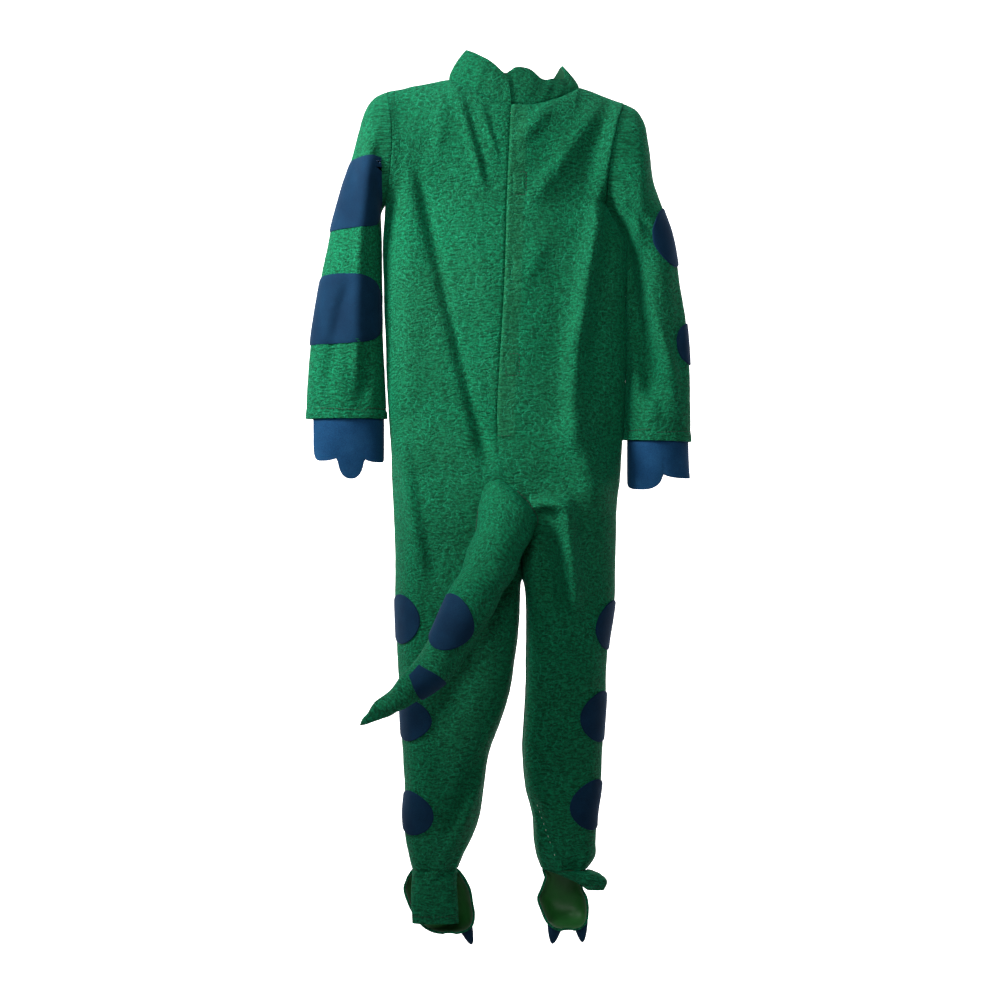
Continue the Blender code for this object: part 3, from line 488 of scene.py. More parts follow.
def yoke_surface(side, face, turn, rise):
    """The yoke: turn runs out from the centre, rise up from the underarm."""
    yoke, neck = YOKE[side], neck_share(side)
    share = power_of(np.sin(turn * np.pi / 2))
    swing = 2 * np.sqrt(np.clip(rise * (1 - rise), 0, None))
    edge_x = yoke.underarm_x + (yoke.tip_x - yoke.underarm_x) * rise + yoke.bow * swing**2
    centre_x = BODY[0].left_inner + (NECK_CENTRE_X - BODY[0].left_inner) * rise
    x = centre_x + (edge_x - centre_x) * share
    centre_z = NECK[face].centre_z
    at_neck = centre_z + (yoke.neck_z - centre_z) * np.clip(share / neck, 0, 1) ** yoke.neck_power
    slope = (yoke.tip_z - yoke.neck_z) / (1 - neck)
    top = np.where(share < neck, at_neck, yoke.neck_z + slope * (share - neck))
    z = UNDERARM_Z + (top - UNDERARM_Z) * rise
    below = np.clip((top - z) / SHOULDER_ROUNDING, 0, 1)
    rounding = np.sqrt(1 - (1 - below) ** 2)
    neck_depth = NECK[face].depth * np.sqrt(np.clip(1 - (share / neck) ** 2, 0, None))
    full = BODY[0].back if face == BACK else BODY[0].front
    bulk = power_of(np.cos(turn * np.pi / 2))
    pull = ARMHOLE_DEPTH * swing ** (1 + 2 * (1 - share)) * share**ARMHOLE_PULL
    depth = np.hypot(full * bulk * rounding, pull) + neck_depth * (1 - rounding)
    depth = depth + face_folds(face, x, z) * np.clip(bulk * 1.5, 0, 1) * np.clip(rounding * 2, 0, 1)
    return np.stack([x, face * depth, z], axis=-1)


def face_folds(face, x, z):
    return fold_height(BACK_FOLDS if face == BACK else FRONT_FOLDS, x, z)


def body_surface(side, face, turn, z):
    """The torso or a leg: turn runs from the centre or inseam to the side seam."""
    outer = curve(BODY, "left" if side == LEFT else "right", "z", z)
    inner = curve(BODY, "left_inner", "z", z)
    if side == RIGHT:
        inner = np.where(z < CROTCH_Z, curve(BODY, "right_inner", "z", z), inner)
    pressed = smoothstep(-652, -640, z) * smoothstep(CROTCH_Z + 1, CROTCH_Z - 8, z)
    inner = inner - side * PRESSED_INSEAM * pressed
    depth = curve(BODY, "back" if face == BACK else "front", "z", z)
    split = np.clip((CROTCH_TOP_Z - z) / (CROTCH_TOP_Z - CROTCH_Z), 0, 1)
    half = np.abs(inner - outer) / (1 + split)
    centre_x = outer - side * half
    start = np.arccos(np.clip(split ** (SQUARENESS / 2), 0, 1))
    angle = start + turn * (np.pi - start)
    x = centre_x - side * half * power_of(np.cos(angle))
    bulk = power_of(np.clip(np.sin(angle), 0, None))
    near_ankle = np.clip(1 - (z - ANKLE_Z) / ANKLE_WAVE_REACH, 0, 1)
    waves = ANKLE_WAVE_HEIGHT * near_ankle * np.sin(2 * np.pi * ANKLE_WAVES * turn)
    y = depth * bulk + (face_folds(face, x, z) + waves) * np.clip(bulk * 1.5, 0, 1)
    return np.stack([x, face * y, z], axis=-1)


def panel_surface(side, face):
    """One panel's outer face, from shoulder and neck down to the ankle, as rows of points."""
    neck = math.asin(neck_share(side) ** (SQUARENESS / 2)) / (math.pi / 2)
    half = PANEL_COLUMNS // 2
    from_centre = neck * np.linspace(0, 1, half + 1) ** (SQUARENESS / 2)
    turn = np.concatenate([from_centre, np.linspace(neck, 1, half + 1)[1:]])
    rise = (1 + np.cos(np.pi * np.arange(YOKE_ROWS) / YOKE_ROWS)) / 2
    above = yoke_surface(side, face, turn[None, :] + 0 * rise[:, None], rise[:, None] + 0 * turn)
    near = np.linspace(0, 1, CROTCH_ROWS + 1)[1:]
    levels = np.concatenate([
        np.linspace(UNDERARM_Z, CROTCH_Z + CROTCH_EASE, TORSO_ROWS - CROTCH_ROWS),
        CROTCH_Z + CROTCH_EASE * (1 - np.sin(near * np.pi / 2)),
        np.linspace(CROTCH_Z, ANKLE_Z, LEG_ROWS + 2)[1:],
    ])
    below = body_surface(side, face, turn[None, :] + 0 * levels[:, None], levels[:, None] + 0 * turn)
    return np.concatenate([above, below])


def sleeve_surface(side):
    """The sleeve's outer face, opened along its underarm seam."""
    rings = keyed(SLEEVE[side])
    share = np.linspace(0, 1, SLEEVE_ROWS + 1)[:, None] ** 1.1
    angle = np.pi + np.linspace(0, 2 * np.pi, 2 * YOKE_ROWS + 1)[None, :]
    return sleeve_points(side, rings, share + 0 * angle, angle + 0 * share)


def sleeve_points(side, rings, share, angle):
    """Points of a sleeve: share runs down it, angle round it from its outer edge by the back."""
    at = share * (len(rings) - 1)
    outer_x, outer_z, inner_x, inner_z, depth = (
        curve(rings, column, "at", at) for column in Ring._fields
    )
    around = (1 + np.cos(angle)) / 2
    x = inner_x + (outer_x - inner_x) * around
    z = inner_z + (outer_z - inner_z) * around
    away = np.sin(angle)
    x = x + YOKE[side].bow * away**2 * np.clip(1 - at, 0, None)
    folds = fold_height(SLEEVE_FOLDS[side], x, z) * np.clip(away * 1.5, 0, 1) * np.clip(at, 0, 1)
    return np.stack([x, -(depth * away + folds), z], axis=-1)


def collar_surface(panels):
    """The collar's outer face: its lower edge is the neck edge of the four panels."""
    count = PANEL_COLUMNS // 2
    lower = np.concatenate([
        panels[LEFT, BACK][0, : count + 1],
        panels[LEFT, FRONT][0, count - 1 :: -1],
        panels[RIGHT, FRONT][0, 1 : count + 1],
        panels[RIGHT, BACK][0, count - 1 :: -1],
    ])
    share = np.linspace(0, 1, len(lower))
    top = np.stack([curve(COLLAR, axis, "share", share) for axis in "xyz"], axis=-1)
    out = lower * (1, 1, 0)
    out = out / np.maximum(1, np.linalg.norm(out, axis=-1, keepdims=True))
    rise = np.linspace(1, 0, COLLAR_ROWS + 1)[:, None, None]
    ripple = 0.8 * np.sin(share * 2 * np.pi * 17)[None, :, None] * np.sin(np.pi * rise)
    return lower + (top - lower) * rise + out * (COLLAR_SWELL * np.sin(np.pi * rise) + ripple)


def below_ankle(side, edge, rows, face, count):
    """A sheet hung from a panel's ankle edge, each lower row of it an arc of its own."""
    turn = np.linspace(0, 1, len(edge))[None, :]
    at = np.linspace(0, len(rows), count + 1)[:, None]
    table = keyed(rows)
    z, x, half_width, depth, y = (
        curve(table, name, "at", np.maximum(at - 1, 0) + 0 * turn) for name in rows[0]._fields
    )
    arc = np.stack([
        x - side * half_width * power_of(np.cos(np.pi * turn)),
        y + face * depth * power_of(np.clip(np.sin(np.pi * turn), 0, None)),
        z,
    ], axis=-1)
    blend = np.clip(at, 0, 1)[..., None]
    return edge[None] * (1 - blend) + arc * blend


def unit(vectors):
    return vectors / np.maximum(np.linalg.norm(vectors, axis=-1, keepdims=True), 1e-9)


def grid_normals(surface, outward):
    """Unit normals of a surface of rows of points, turned by outward (1 or -1)."""
    down = np.gradient(surface, axis=0)
    along = np.gradient(surface, axis=1)
    return unit(np.cross(along, down) * outward)


def arc_lengths(surface, axis):
    """Running length of the cloth along its rows (axis 1) or columns (axis 0)."""
    steps = np.linalg.norm(np.diff(surface, axis=axis), axis=-1)
    return np.insert(np.cumsum(steps, axis=axis), 0, 0, axis=axis)


def net_cells(u, v, dull=0.0):
    """Cloth millimetres to counts of net cells, which narrow towards the side seams, and the dull share."""
    across = u / CELL_WIDTH * (1 + NARROWING * np.clip(np.abs(u) / NARROWING_REACH, 0, 1.2) ** 2)
    down = v / CELL_HEIGHT
    warp_u = 0.26 * np.sin(0.9 * down + 1.3 * np.sin(0.37 * across))
    warp_u += 0.14 * np.sin(1.9 * across + 0.31 * down)
    warp_v = 0.18 * np.sin(0.8 * across + 1.7 * np.sin(0.23 * down))
    warp_v += 0.10 * np.sin(2.3 * across + 0.7 * down)
    return across + warp_u, down + warp_v, dull + np.zeros_like(u)


def ridge(distance, height, width):
    """A soft ridge, or a groove where height is under 0, by the distance from its middle."""
    return height * np.exp(-((distance / width) ** 2))


def unevenness(surface):
    """Small soft wrinkles that keep the plush from lying dead flat, in millimetres."""
    x, y, z = surface[..., 0], surface[..., 1], surface[..., 2]
    wide = np.sin(x / 9 + 1.2 * np.sin(z / 31)) * np.sin(z / 23 + 0.8 * np.sin(x / 17 + y / 15))
    fine = np.sin(x / 4.1 + z / 13 + 1.5 * np.sin(z / 9)) * np.sin(z / 6.7 + y / 8)
    return 0.5 * wide + 0.18 * fine


def material(name, build, *finish):
    """A material of its own nodes: build gets the node tree's helper, the shader and the finish."""
    made = bpy.data.materials.new(name)
    made.use_nodes = True
    tree = made.node_tree
    build(Nodes(tree), tree.nodes["Principled BSDF"], *finish)
    return made


class Nodes:
    """Short calls for making and joining shader nodes."""

    def __init__(self, tree):
        self.tree = tree

    def add(self, kind, **settings):
        node = self.tree.nodes.new(kind)
        for name, value in settings.items():
            setattr(node, name, value)
        return node

    def place(self):
        return self.add("ShaderNodeTexCoord").outputs["Object"]

    def put(self, socket, value):
        if isinstance(value, bpy.types.NodeSocket):
            self.tree.links.new(value, socket)
        else:
            socket.default_value = value

    def math(self, operation, *values):
        node = self.add("ShaderNodeMath", operation=operation)
        for socket, value in zip(node.inputs, values):
            self.put(socket, value)
        return node.outputs[0]

    def mix(self, share, low, high):
        node = self.add("ShaderNodeMix", data_type="RGBA")
        self.put(node.inputs["Factor"], share)
        self.put(node.inputs[6], low)
        self.put(node.inputs[7], high)
        return node.outputs[2]

    def noise(self, vector, scale, detail=3.0, roughness=0.55):
        node = self.add("ShaderNodeTexNoise")
        self.put(node.inputs["Vector"], vector)
        self.put(node.inputs["Scale"], scale)
        self.put(node.inputs["Detail"], detail)
        self.put(node.inputs["Roughness"], roughness)
        return node.outputs["Fac"]

    def ramp(self, value, low, high):
        node = self.add("ShaderNodeMapRange", interpolation_type="SMOOTHSTEP")
        self.put(node.inputs["Value"], value)
        self.put(node.inputs["From Min"], low)
        self.put(node.inputs["From Max"], high)
        return node.outputs["Result"]

    def bump(self, height, distance, strength=1.0, normal=None):
        node = self.add("ShaderNodeBump")
        self.put(node.inputs["Height"], height)
        self.put(node.inputs["Distance"], distance)
        self.put(node.inputs["Strength"], strength)
        if normal is not None:
            self.put(node.inputs["Normal"], normal)
        return node.outputs["Normal"]


def net_mask(n):
    """1 on the embossed net's lines and 0 in its cells, a random value for each cell, and the dull share."""
    cells = n.add("ShaderNodeAttribute", attribute_name="cells")
    split = n.add("ShaderNodeSeparateXYZ")
    n.put(split.inputs[0], cells.outputs["Vector"])
    place = n.add("ShaderNodeCombineXYZ")
    sway = n.math("SUBTRACT", n.noise(cells.outputs["Vector"], 0.9, 3.0), 0.5)
    n.put(place.inputs[0], n.math("ADD", split.outputs[0], n.math("MULTIPLY", sway, 0.9)))
    n.put(place.inputs[1], n.math("ADD", split.outputs[1], n.math("MULTIPLY", sway, 0.7)))
    found = []
    for feature, output in (("DISTANCE_TO_EDGE", "Distance"), ("F1", "Color")):
        net = n.add("ShaderNodeTexVoronoi", feature=feature, voronoi_dimensions="2D")
        n.put(net.inputs["Vector"], place.outputs[0])
        n.put(net.inputs["Scale"], 1.0)
        n.put(net.inputs["Randomness"], 0.72)
        found.append(net.outputs[output])
    line = n.math("SUBTRACT", 1.0, n.ramp(found[0], 0.015, 0.11))
    patches = n.ramp(n.noise(cells.outputs["Vector"], 0.16, 2.0), 0.34, 0.62)
    line = n.math("MULTIPLY", line, n.math("ADD", 0.25, n.math("MULTIPLY", patches, 0.75)))
    stretched = n.add("ShaderNodeCombineXYZ")
    n.put(stretched.inputs[0], n.math("MULTIPLY", split.outputs[0], 1.3))
    n.put(stretched.inputs[1], n.math("MULTIPLY", split.outputs[1], 3.4))
    crimp = n.noise(stretched.outputs[0], 1.0, 2.0)
    return line, found[1], crimp, split.outputs[2]


# Colours of the plush: two greens of the pile, single cells, painted shade in the crimps, the worn lap, net
# lines lightened partly as painted sheen, and painted shade in the hollows
PLUSH_DEEP, PLUSH_SOFT = (0.0020, 0.175, 0.072, 1), (0.0060, 0.158, 0.066, 1)
PLUSH_CELL, PLUSH_CRIMP_SHADE = (0.0040, 0.200, 0.090, 1), (0.0006, 0.045, 0.018, 1)
PLUSH_DULL, PLUSH_LINE_AND_SHEEN = (0.0130, 0.120, 0.048, 1), (0.0200, 0.370, 0.190, 1)
PLUSH_HOLLOW_SHADE = (0.0008, 0.045, 0.017, 1)


def plush_nodes(n, shader):
    """Short crimped green pile with the embossed net's paler lines, lightened partly as painted sheen; its
    crimps and hollows carry painted shade.
    """
    place = n.place()
    line, cell, crimp, dull = net_mask(n)
    broad = n.ramp(n.noise(place, 11.0, 2.0), 0.3, 0.7)
    pile = n.noise(place, 360.0, 4.0, 0.68)
    base = n.mix(broad, PLUSH_DEEP, PLUSH_SOFT)
    base = n.mix(n.math("MULTIPLY", cell, 0.35), base, PLUSH_CELL)
    # Painted shade: the crimps' pits, which the bump makes below, are darkened in colour
    base = n.mix(n.math("MULTIPLY", n.ramp(crimp, 0.46, 0.62), 0.72), base, PLUSH_CRIMP_SHADE)
    base = n.mix(dull, base, PLUSH_DULL)
    # The net's pressed lines are paler: partly the pattern's own tone, partly painted sheen
    base = n.mix(n.math("MULTIPLY", line, 0.38), base, PLUSH_LINE_AND_SHEEN)
    # Painted shade: the low places of the pile, its hollows, are darkened in colour
    shade = n.ramp(pile, 0.36, 0.62)
    base = n.mix(n.math("MULTIPLY", n.math("SUBTRACT", 1.0, shade), 0.72), base, PLUSH_HOLLOW_SHADE)
    n.put(shader.inputs["Base Color"], base)
    n.put(shader.inputs["Roughness"], n.math("ADD", 0.66, n.math("MULTIPLY", pile, 0.3)))
    shader.inputs["Specular IOR Level"].default_value = 0.12
    shader.inputs["Sheen Weight"].default_value = 0.16
    shader.inputs["Sheen Roughness"].default_value = 0.35
    shader.inputs["Sheen Tint"].default_value = (0.0, 0.80, 0.42, 1)
    pits = n.math("MULTIPLY", crimp, -1.0)
    soft = n.bump(pits, 0.0045, 0.75)
    soft = n.bump(line, 0.0014, 0.6, soft)
    n.put(shader.inputs["Normal"], n.bump(pile, 0.0022, 0.7, soft))


def lining_nodes(n, shader, dark, light):
    """Smooth knitted lining, slightly shiny."""
    place = n.place()
    knit = n.add("ShaderNodeTexWave", wave_type="BANDS", bands_direction="X")
    n.put(knit.inputs["Vector"], place)
    n.put(knit.inputs["Scale"], 260.0)
    n.put(knit.inputs["Distortion"], 2.0)
    n.put(shader.inputs["Base Color"], n.mix(n.noise(place, 30.0, 3.0), dark, light))
    shader.inputs["Roughness"].default_value = 0.42
    shader.inputs["Sheen Weight"].default_value = 0.2
    n.put(shader.inputs["Normal"], n.bump(knit.outputs["Fac"], 0.0003, 0.4))


def felt_nodes(n, shader, dark, light):
    """Matt felt with a fine fuzz."""
    place = n.place()
    broad = n.ramp(n.noise(place, 28.0, 3.0), 0.3, 0.7)
    fuzz = n.noise(place, 900.0, 3.0, 0.7)
    base = n.mix(broad, dark, light)
    base = n.mix(n.ramp(fuzz, 0.35, 0.7), n.mix(0.4, base, (0.001, 0.006, 0.02, 1)), base)
    n.put(shader.inputs["Base Color"], base)
    shader.inputs["Roughness"].default_value = 0.85
    shader.inputs["Specular IOR Level"].default_value = 0.12
    shader.inputs["Sheen Weight"].default_value = 0.1
    shader.inputs["Sheen Roughness"].default_value = 0.4
    shader.inputs["Sheen Tint"].default_value = (0.30, 0.55, 1.0, 1)
    n.put(shader.inputs["Normal"], n.bump(fuzz, 0.0004, 0.5))


def plain_nodes(n, shader, colour, roughness):
    grain = n.noise(n.place(), 1500.0, 2.0)
    n.put(shader.inputs["Base Color"], n.mix(grain, tuple(0.8 * c for c in colour) + (1,), colour + (1,)))
    shader.inputs["Roughness"].default_value = roughness


def paper_nodes(n, shader):
    shader.inputs["Base Color"].default_value = (0.93, 0.93, 0.93, 1)
    shader.inputs["Roughness"].default_value = 0.9
    shader.inputs["Emission Color"].default_value = (1, 1, 1, 1)
    place = n.add("ShaderNodeSeparateXYZ")
    n.put(place.inputs[0], n.place())
    n.put(shader.inputs["Emission Strength"], n.math("MULTIPLY", n.ramp(place.outputs[1], 0.0, 1.4), 1.25))


PLUSH = material("plush", plush_nodes)
LINING = material("lining", lining_nodes, (0.004, 0.075, 0.030, 1), (0.008, 0.110, 0.045, 1))
FOOT_LINING = material("foot_lining", lining_nodes, (0.003, 0.090, 0.010, 1), (0.012, 0.170, 0.022, 1))
FELT_BLUE = material("felt", felt_nodes, (0.0008, 0.019, 0.050, 1), (0.0022, 0.028, 0.068, 1))
# The mitts' felt is the spots' felt made lighter: painted light on the mitts
MITT_BLUE_PAINTED_LIGHT = material("mitt_felt", felt_nodes, (0.0040, 0.046, 0.125, 1), (0.0090, 0.066, 0.165, 1))
DARK_THREAD = material("dark_thread", plain_nodes, (0.004, 0.045, 0.020), 0.7)
PALE_THREAD = material("pale_thread", plain_nodes, (0.62, 0.66, 0.55), 0.6)


def mesh_object(name, points, faces, finishes, face_finish=None, cells=None):
    """An object of points in millimetres, smooth shaded, with its net cells as an attribute."""
    mesh = bpy.data.meshes.new(name)
    mesh.from_pydata((np.asarray(points) * MM).tolist(), [], faces)
    for finish in finishes:
        mesh.materials.append(finish)
    if face_finish is not None:
        mesh.polygons.foreach_set("material_index", np.asarray(face_finish, np.int32))
    if cells is not None:
        attribute = mesh.attributes.new("cells", "FLOAT_VECTOR", "POINT")
        attribute.data.foreach_set("vector", np.asarray(cells, np.float32).ravel())
    mesh.shade_smooth()
    mesh.set_sharp_from_angle(angle=math.radians(60))
    obj = bpy.data.objects.new(name, mesh)
    bpy.context.scene.collection.objects.link(obj)
    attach(obj, "root")
    return obj


def quads_of(index):
    """Faces between neighbouring rows and columns of point numbers."""
    return np.stack([index[:-1, :-1], index[:-1, 1:], index[1:, 1:], index[1:, :-1]], -1).reshape(-1, 4)


def shell(name, surface, normals, finishes, thickness=CLOTH + PILE, relief=None, cells=None):
    """A cloth wall: a finely divided outer face, a plain inner face and the edges between them."""
    rows, columns = surface.shape[:2]
    outer = surface if relief is None else surface + normals * relief[..., None]
    inner_rows, inner_columns = np.arange(0, rows, INNER_STEP), np.arange(0, columns, INNER_STEP)
    inner = (surface - normals * thickness)[np.ix_(inner_rows, inner_columns)]
    n_outer, wide = rows * columns, len(inner_columns)
    index = np.arange(n_outer).reshape(rows, columns)
    under = n_outer + np.arange(len(inner_rows) * wide).reshape(len(inner_rows), wide)
    front, back = quads_of(index), quads_of(under)[:, (0, 3, 2, 1)]
    away = (np.cross(np.gradient(surface, axis=1), np.gradient(surface, axis=0)) * normals).sum()
    if away > 0:
        front, back = front[:, ::-1], back[:, ::-1]
    faces = front.tolist() + back.tolist()
    borders = (
        (index[0], under[0]), (index[-1, ::-1], under[-1, ::-1]),
        (index[::-1, 0], under[::-1, 0]), (index[:, -1], under[:, -1]),
    )
    for fine, coarse in borders:
        for k in range(len(coarse) - 1):
            first = k * INNER_STEP
            ring = [*fine[first : first + INNER_STEP + 1].tolist(), int(coarse[k + 1]), int(coarse[k])]
            faces.append(ring if away > 0 else ring[::-1])
    finish = np.zeros(len(faces), np.int32)
    if len(finishes) > 1:
        finish[len(front) : len(front) + len(back)] = 1
    points = np.concatenate([outer.reshape(-1, 3), inner.reshape(-1, 3)])
    if cells is not None:
        net = np.stack(cells, axis=-1)
        inner_net = net[np.ix_(inner_rows, inner_columns)]
        cells = np.concatenate([net.reshape(-1, 3), inner_net.reshape(-1, 3)])
    return mesh_object(name, points, faces, finishes, finish, cells)


def declare(node):
    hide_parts(node)


def seam_dip(rows, columns, edges):
    """A shallow valley along the sewn edges, in millimetres, and how much unevenness is left there."""
    near = np.full((rows, columns), 1e3)
    r = np.arange(rows)[:, None] * SEAM_PITCH + np.zeros(columns)
    c = np.arange(columns)[None, :] * SEAM_PITCH + np.zeros((rows, 1))
    for edge in edges:
        near = np.minimum(near, {"top": r, "bottom": r[::-1], "start": c}[edge])
    return ridge(near, -SEAM_DEPTH, SEAM_WIDTH), smoothstep(0, 6, near)


def plush_piece(
    name, surface, outward, start_u, edges, extra=0.0, lining=LINING, dull=0.0
):
    """A plush piece with its embossed net, and seams pulled in along the edges named."""
    normals = grid_normals(surface, outward)
    cells = net_cells(start_u(arc_lengths(surface, 1)), -surface[..., 2], dull)
    dip, left = seam_dip(surface.shape[0], surface.shape[1], edges)
    relief = dip + unevenness(surface) * left + extra
    piece = shell(name, surface, normals, (PLUSH, lining), relief=relief, cells=cells)
    declare(name)
    return surface, normals


def tree_of(surfaces):
    """A tree for finding points on rows of points, in millimetres."""
    points, faces, first = [], [], 0
    for surface in surfaces:
        rows, columns = surface.shape[:2]
        index = first + np.arange(rows * columns).reshape(rows, columns)
        points += surface.reshape(-1, 3).tolist()
        faces += quads_of(index).tolist()
        first += rows * columns
    return BVHTree.FromPolygons(points, faces)


def back_point(tree, x, z):
    """Where the back's outer face lies at x and z, with its normal towards the viewer."""
    hit, normal, _, _ = tree.ray_cast(Vector((x, -400, z)), Vector((0, 1, 0)))
    return hit, (normal if normal.y < 0 else -normal)


def make_body():
    """The panels, sleeves, collar and shoe covers; gives the points and normals of each but the collar by
    its name.
    """
    surfaces = {}
    panels = {(s, f): panel_surface(s, f) for s in (LEFT, RIGHT) for f in (BACK, FRONT)}
    for (side, face), surface in panels.items():
        name = FACE_WORD[face] + "_" + SIDE_WORD[side]
        edges, lap, dull = ["top", "start"], 0.0, 0.0
        if face == BACK:
            edges = ["top"]
            lap, dull = closure_relief(side, surface)
        surfaces[name] = plush_piece(
            name, surface, side * face, lambda u: side * u, edges, lap, dull=dull
        )
    for side, word in SIDE_WORD.items():
        name = "sleeve_" + word
        surface = sleeve_surface(side)
        middle = surface.shape[1] // 2
        surfaces[name] = plush_piece(
            name, surface, side, lambda u: u - u[:, middle : middle + 1], ["top"],
            cuff_relief(surface) + pressed_relief(side, surface),
        )
    collar = collar_surface(panels)
    to_end = arc_lengths(collar, 1)
    to_end = to_end[:, -1:] - to_end
    lip = COLLAR_LIP * (ridge(to_end, 1, 2.4) + ridge(to_end - 5, -0.5, 2.2))
    plush_piece("collar", collar, 1, lambda u: u - COLLAR_NET_START, ["bottom"], lip)
    for side, word in SIDE_WORD.items():
        name = "foot_upper_" + word
        upper = below_ankle(side, panels[side, FRONT][-1], UPPER[side], FRONT, UPPER_ROWS)
        surfaces[name] = plush_piece(
            name, upper, side, lambda u: u - FOOT_NET_START, ["top"],
            lining=FOOT_LINING,
        )
        name = "heel_flap_" + word
        heel = below_ankle(side, panels[side, BACK][-1], HEEL[side], BACK, HEEL_ROWS)
        surfaces[name] = plush_piece(
            name, heel, -side, lambda u: u - FOOT_NET_START, ["top"]
        )
    return surfaces


def closure_relief(side, surface):
    """A back panel's centre edge: the closure's relief, sewn shut below it, and how dull the lap is."""
    across = np.abs(surface[..., 0] - surface[:, :1, 0])
    above = smoothstep(CLOSURE_END_Z - 6, CLOSURE_END_Z + 2, surface[..., 2])
    sewn = ridge(across, -SEAM_DEPTH, SEAM_WIDTH) * (1 - above)
    if side == LEFT:
        return ridge(across, -LAP_TROUGH, LAP_TROUGH_WIDTH) * above + sewn, 0.0
    edge = smoothstep(-0.5, 3.5, across) * np.exp(-across / LAP_WIDTH)
    in_lap = 1 - smoothstep(LAP_WIDTH - 3, LAP_WIDTH + 3, across)
    return LAP_RISE * edge * above + sewn + tab_relief(surface), LAP_DULLNESS * in_lap * above


def tab_relief(surface):
    """The closure's stiff tabs, which stand a little proud behind the plush and dip along their stitches."""
    x, z = surface[..., 0], surface[..., 2]
    total = np.zeros_like(x)
    for tab in TABS:
        beside = np.minimum(x - tab.left, tab.left + tab.width - x)
        inside = np.minimum(beside, np.minimum(tab.top - z, z - tab.top + tab.height))
        total += TAB_RISE * smoothstep(0, 3, inside) + ridge(inside, -TAB_GROOVE, TAB_GROOVE_WIDTH)
    return total


def cuff_relief(surface):
    """The turned hem of a cuff, held down along its row of stitches."""
    rise = arc_lengths(surface, 0)
    from_edge = rise[-1:] - rise
    groove = ridge(from_edge - CUFF_HEM, -CUFF_GROOVE, CUFF_GROOVE_WIDTH)
    return groove + CUFF_RISE * smoothstep(CUFF_HEM, CUFF_HEM - 3, from_edge)


def pressed_relief(side, surface):
    """The pile along the underarm seam, which fills the gap where the sleeve hangs against the body."""
    across = arc_lengths(surface, 1)
    near = ridge(np.minimum(across, across[:, -1:] - across), 1, UNDERARM_PILE_WIDTH)
    z = surface[..., 2]
    if side == LEFT:
        return UNDERARM_PILE[side] * near * smoothstep(-300, -265, z)
    at_armhole = smoothstep(-226, -206, z) * smoothstep(-150, -170, z)
    return near * (UNDERARM_PILE[side] + ARMHOLE_PILE * at_armhole)


def make_underlap(surfaces):
    """The strip sewn to the left back edge, behind the right panel's lap."""
    surface, normals = surfaces["back_right"]
    share = (UNDERARM_Z - CLOSURE_END_Z) / (UNDERARM_Z - CROTCH_Z - CROTCH_EASE)
    last = YOKE_ROWS + int((TORSO_ROWS - CROTCH_ROWS) * share)
    last -= (last - UNDERLAP_START) % INNER_STEP
    strip = np.s_[UNDERLAP_START : last + 1, :UNDERLAP_COLUMNS]
    behind = surface[strip] - normals[strip] * (CLOTH + UNDERLAP_GAP)
    piece = shell("closure_underlap", behind, normals[strip], (PLUSH, LINING), FELT)
    declare("closure_underlap")


def make_spot(row, tree):
    """An oval of felt laid on its host: its rings of points are dropped onto the plush."""
    facing = Vector((row.facing_x, row.facing_y, row.facing_z)).normalized()
    level = facing.cross(Vector((0, 0, 1))).normalized()
    turned = Matrix.Rotation(-math.radians(row.roll), 3, facing)
    across, upwards = turned @ level, turned @ level.cross(facing)
    centre = Vector((row.x, row.y, row.z))

    def dropped(reach, angle):
        at = centre + across * (row.half_width * reach * math.cos(angle))
        at += upwards * (row.half_height * reach * math.sin(angle))
        hit, normal, _, _ = tree.ray_cast(at + facing * 120, -facing)
        if hit is None or (hit - at).length > 90:
            return None
        if normal.dot(facing) < 0:
            normal = -normal
        return None if normal.dot(facing) < 0.08 else (hit, normal)

    base, lifts = [], []
    for k in range(SPOT_SPOKES):
        angle = 2 * math.pi * k / SPOT_SPOKES
        limit = 1.0
        if dropped(limit, angle) is None:
            limit = bisected(0.0, 1.0, 14, lambda reach: dropped(reach, angle) is None)[0]
        spoke = []
        for i in range(SPOT_RINGS + 1):
            reach = limit * math.sin(math.pi / 2 * i / SPOT_RINGS) * 0.999
            hit, normal = dropped(reach, angle) or spoke[-1]
            spoke.append((hit, normal))
        base.append([tuple(hit) for hit, _ in spoke])
        lifts.append([tuple(normal) for _, normal in spoke])
    surface = np.array(base + base[:1]).transpose(1, 0, 2)
    normals = np.array(lifts + lifts[:1]).transpose(1, 0, 2)
    closed_disc(row.name, surface, normals)


def make_band(row):
    """A wide spot sewn round the left sleeve, from rings of points in the sleeve's turns and heights."""
    rings = keyed(SLEEVE[LEFT])
    spoke = 2 * np.pi * np.arange(SPOT_SPOKES + 1) / SPOT_SPOKES
    round_off = (np.abs(np.cos(spoke)) ** row.squareness + np.abs(np.sin(spoke)) ** row.squareness)
    edge = np.linspace(0, 1, SPOT_RINGS + 1)[:, None] + 0 * spoke
    out = edge / round_off ** (1 / row.squareness)
    across = out * np.cos(spoke)
    turn = row.turn + row.half_turn * across
    z = row.z + row.half_height * out * np.sin(spoke) + row.tilt * across
    z = z + row.arch * (1 - across**2) * (out * np.sin(spoke) > 0) * out * np.sin(spoke)
    shares = np.linspace(0.02, 1, 400)

    def share_at(angle, height):
        heights = sleeve_points(LEFT, rings, shares, np.full_like(shares, angle))[:, 2]
        return np.interp(-height, -heights, shares)

    share = np.maximum(BAND_START, np.vectorize(share_at)(turn, z))
    surface = sleeve_points(LEFT, rings, share, turn)
    nearby = sleeve_points(LEFT, rings, share, turn + 0.02) - surface
    below = sleeve_points(LEFT, rings, np.minimum(1, share + 0.004), turn) - surface
    normals = unit(np.cross(nearby, below))
    normals *= np.sign((normals[0, 0] * (0, -1, 0)).sum())
    closed_disc(row.name, surface, normals)


